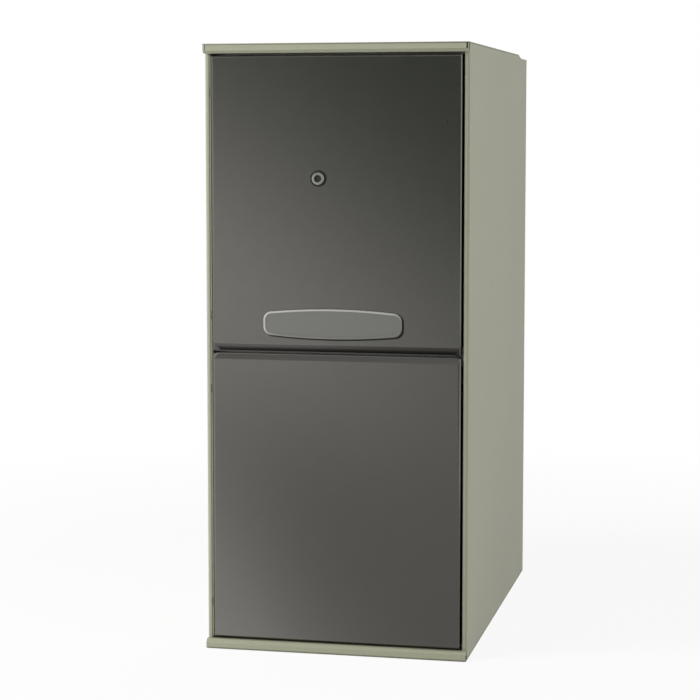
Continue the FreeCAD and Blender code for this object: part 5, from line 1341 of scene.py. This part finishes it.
@dataclass(frozen=True)
class Card:
    """A graded card that only mirrored rays see."""

    name: str
    corners: tuple[Point, ...]
    slope: Point
    start: float
    tones: tuple[Stop, ...]
    level: float = 1.0

    def build(self) -> None:
        """Puts up the card."""
        mesh = bpy.data.meshes.new(self.name)
        mesh.from_pydata(self.corners, [], [tuple(range(len(self.corners)))])
        card = put(self.name, mesh)
        material, recipe = new_recipe(f"{self.name}_tones")
        feeds = {0: recipe.place(), 1: self.slope}
        along = recipe.add("ShaderNodeVectorMath", {"operation": "DOT_PRODUCT"}, feeds, "Value")
        tone = recipe.add("ShaderNodeValToRGB", {"stops": self.tones}, {0: along + self.start})
        glow = recipe.add("ShaderNodeEmission", None, {"Color": tone, "Strength": self.level})
        recipe.add("ShaderNodeOutputMaterial", None, {"Surface": glow})
        mesh.materials.append(material)
        card.visible_camera = False
        card.visible_diffuse = False
        card.visible_shadow = False


@dataclass
class Studio:
    """World, floor, cards, lamps and camera."""

    floor_size: float = 30.0
    floor_drop: float = 0.0006
    paper: Grain = (40.0, 3.0)
    floor_shades: Range = (0.86, 0.90)
    ambient: float = 0.28
    glow: float = 0.9
    fade: float = 4.0
    fade_span: tuple[float, float] = (0.2, 0.5)
    cards: tuple[Card, ...] = (
        Card(
            "back_card",
            ((-4.5, -4.4, 0.0), (3.5, -4.4, 0.0), (3.5, -4.4, 2.5), (-4.5, -4.4, 2.5)),
            (0.39, 0.0, 0.52), 0.55, (
                (0.12, WHITE), (0.32, (0.76, 0.75, 0.74)), (0.46, (0.45, 0.45, 0.436)),
                (0.52, (0.34, 0.35, 0.335)), (0.60, (0.218, 0.232, 0.214)),
                (0.70, (0.147, 0.164, 0.145)), (0.90, (0.104, 0.120, 0.102)),
            ), 1.15,
        ),
        Card(
            "near_card",
            ((-1.6, -0.36, 0.002), (1.5, -0.36, 0.002), (1.5, -2.4, 0.002), (-1.6, -2.4, 0.002)),
            (1.0, -0.42, 0.0), 0.29, (
                (0.24, WHITE), (0.34, (0.84, 0.84, 0.83)), (0.40, (0.66, 0.66, 0.65)),
                (0.45, (0.57, 0.57, 0.56)), (0.51, (0.48, 0.48, 0.47)), (0.62, (0.41, 0.41, 0.40)),
            ),
        ),
        Card(
            "far_card",
            ((-3.0, -2.4, 0.002), (3.0, -2.4, 0.002), (3.0, -4.4, 0.002), (-3.0, -4.4, 0.002)),
            (0.0, -0.5, 0.0), -1.2, ((0.0, (0.50, 0.50, 0.49)), (1.0, (0.66, 0.66, 0.64))),
        ),
        Card(
            "top_card",
            ((-3.0, -4.4, 3.4), (3.0, -4.4, 3.4), (3.0, -0.95, 3.4), (-3.0, -0.95, 3.4)),
            (-0.2, 0.0, 0.0), 0.5, ((0.0, (0.40, 0.40, 0.39)), (1.0, (0.46, 0.46, 0.45))),
        ),
    )
    lamps: tuple[SoftBox, ...] = (
        SoftBox("left_box", (-2.9, -1.9, 1.9), (0, -0.36, 0.55), (1.5, 2.0), 132.0),
        SoftBox("right_box", (3.2, -1.2, 1.7), (0.22, -0.2, 0.5), (1.8, 2.0), 32.0),
    )
    camera_at: Point = (0.73519, -3.64642, 0.87377)
    camera_yaw: float = 12.1781
    camera_pitch: float = 5.3463
    lens: float = 105.396
    sensor: float = 36.0
    shift: float = -0.04

    def build(self) -> None:
        """Sets up the studio."""
        bpy.context.scene.view_settings.view_transform = "Standard"
        self.world()
        self.floor()
        for item in (*self.cards, *self.lamps):
            item.build()
        self.camera()

    def world(self) -> None:
        """White surroundings that give a plain level of light."""
        world = bpy.data.worlds.new("studio_world")
        world.use_nodes = True
        bpy.context.scene.world = world
        recipe = Recipe(world.node_tree)
        strength = self.ambient + self.seen(recipe) * (1 - self.ambient)
        back = recipe.add("ShaderNodeBackground", None, {"Color": WHITE, "Strength": strength})
        recipe.add("ShaderNodeOutputWorld", None, {"Surface": back})

    @staticmethod
    def seen(recipe: Recipe) -> Sock:
        """Finds rays that show the background itself, directly or in metal and glass.

        Args:
            recipe: Tree to add to.

        Returns:
            One for these rays, else nought.
        """
        camera = recipe.add("ShaderNodeLightPath", output="Is Camera Ray")
        glossy = recipe.add("ShaderNodeLightPath", output="Is Glossy Ray")
        through = recipe.add("ShaderNodeLightPath", output="Is Transmission Ray")
        return camera.largest(glossy).largest(through)

    def floor(self) -> None:
        """Pale floor that keeps a soft shadow and is dark under the cabinet."""
        half = self.floor_size / 2
        mesh = bpy.data.meshes.new("floor")
        corners = [(-half, -half, 0), (half, -half, 0), (half, half, 0), (-half, half, 0)]
        mesh.from_pydata(corners, [], [(0, 1, 2, 3)])
        floor = put("floor", mesh)
        floor.location.z = -self.floor_drop
        material, recipe = new_recipe("pale_floor")
        paper = recipe.shaded(recipe.noise(*self.paper), WHITE, self.floor_shades)
        matt = recipe.add("ShaderNodeBsdfDiffuse", None, {"Color": paper})
        glow = recipe.add("ShaderNodeEmission", None, {"Color": WHITE, "Strength": 1.0})
        share = self.seen(recipe) * (1 - self.covered(recipe)) * self.far_glow(recipe)
        shown = recipe.add("ShaderNodeMixShader", None, {0: share, 1: matt, 2: glow})
        recipe.add("ShaderNodeOutputMaterial", None, {"Surface": shown})
        mesh.materials.append(material)

    def far_glow(self, recipe: Recipe) -> Sock:
        """Finds how much the floor glows, so that its far edge is as white as the world.

        Args:
            recipe: Tree to add to.

        Returns:
            Share of the glow: less near the cabinet, all of it farther away.
        """
        feeds = {0: recipe.place()}
        distance = recipe.add("ShaderNodeVectorMath", {"operation": "LENGTH"}, feeds, "Value")
        tones = tuple(zip(self.fade_span, (dimmed(WHITE, self.glow), WHITE)))
        tone = recipe.add("ShaderNodeValToRGB", {"stops": tones}, {0: distance * (1 / self.fade)})
        return recipe.add("ShaderNodeSeparateColor", None, {0: tone})

    @staticmethod
    def covered(recipe: Recipe) -> Sock:
        """Finds the floor under the cabinet.

        Args:
            recipe: Tree to add to.

        Returns:
            One under the cabinet, else nought.
        """
        low, high = CAD_BOX
        across, along = recipe.axis("X"), recipe.axis("Y")
        return (across > low[0]) * (across < high[0]) * (along > low[1]) * (along < high[1])

    def camera(self) -> None:
        """Camera at the photograph's viewing angle."""
        data = bpy.data.cameras.new("camera")
        data.lens = self.lens
        data.sensor_width = self.sensor
        data.shift_y = self.shift
        camera = put("camera", data)
        camera.location = self.camera_at
        pitch = math.radians(90 - self.camera_pitch)
        camera.rotation_euler = (pitch, 0, math.radians(self.camera_yaw))
        bpy.context.scene.camera = camera


def main() -> None:
    """Builds every sub-assembly and the studio."""
    logging.basicConfig(level=logging.INFO, format="%(name)s: %(message)s")
    assemblies = (
        Cabinet(), Doors(), DoorFittings(), HeatExchanger(), BurnerTrain(), Inducer(), Blower(),
        Controls(), Studio(),
    )
    for assembly in assemblies:
        assembly.build()
        LOG.info("%s done", type(assembly).__name__)


if __name__ == "__main__":
    main()
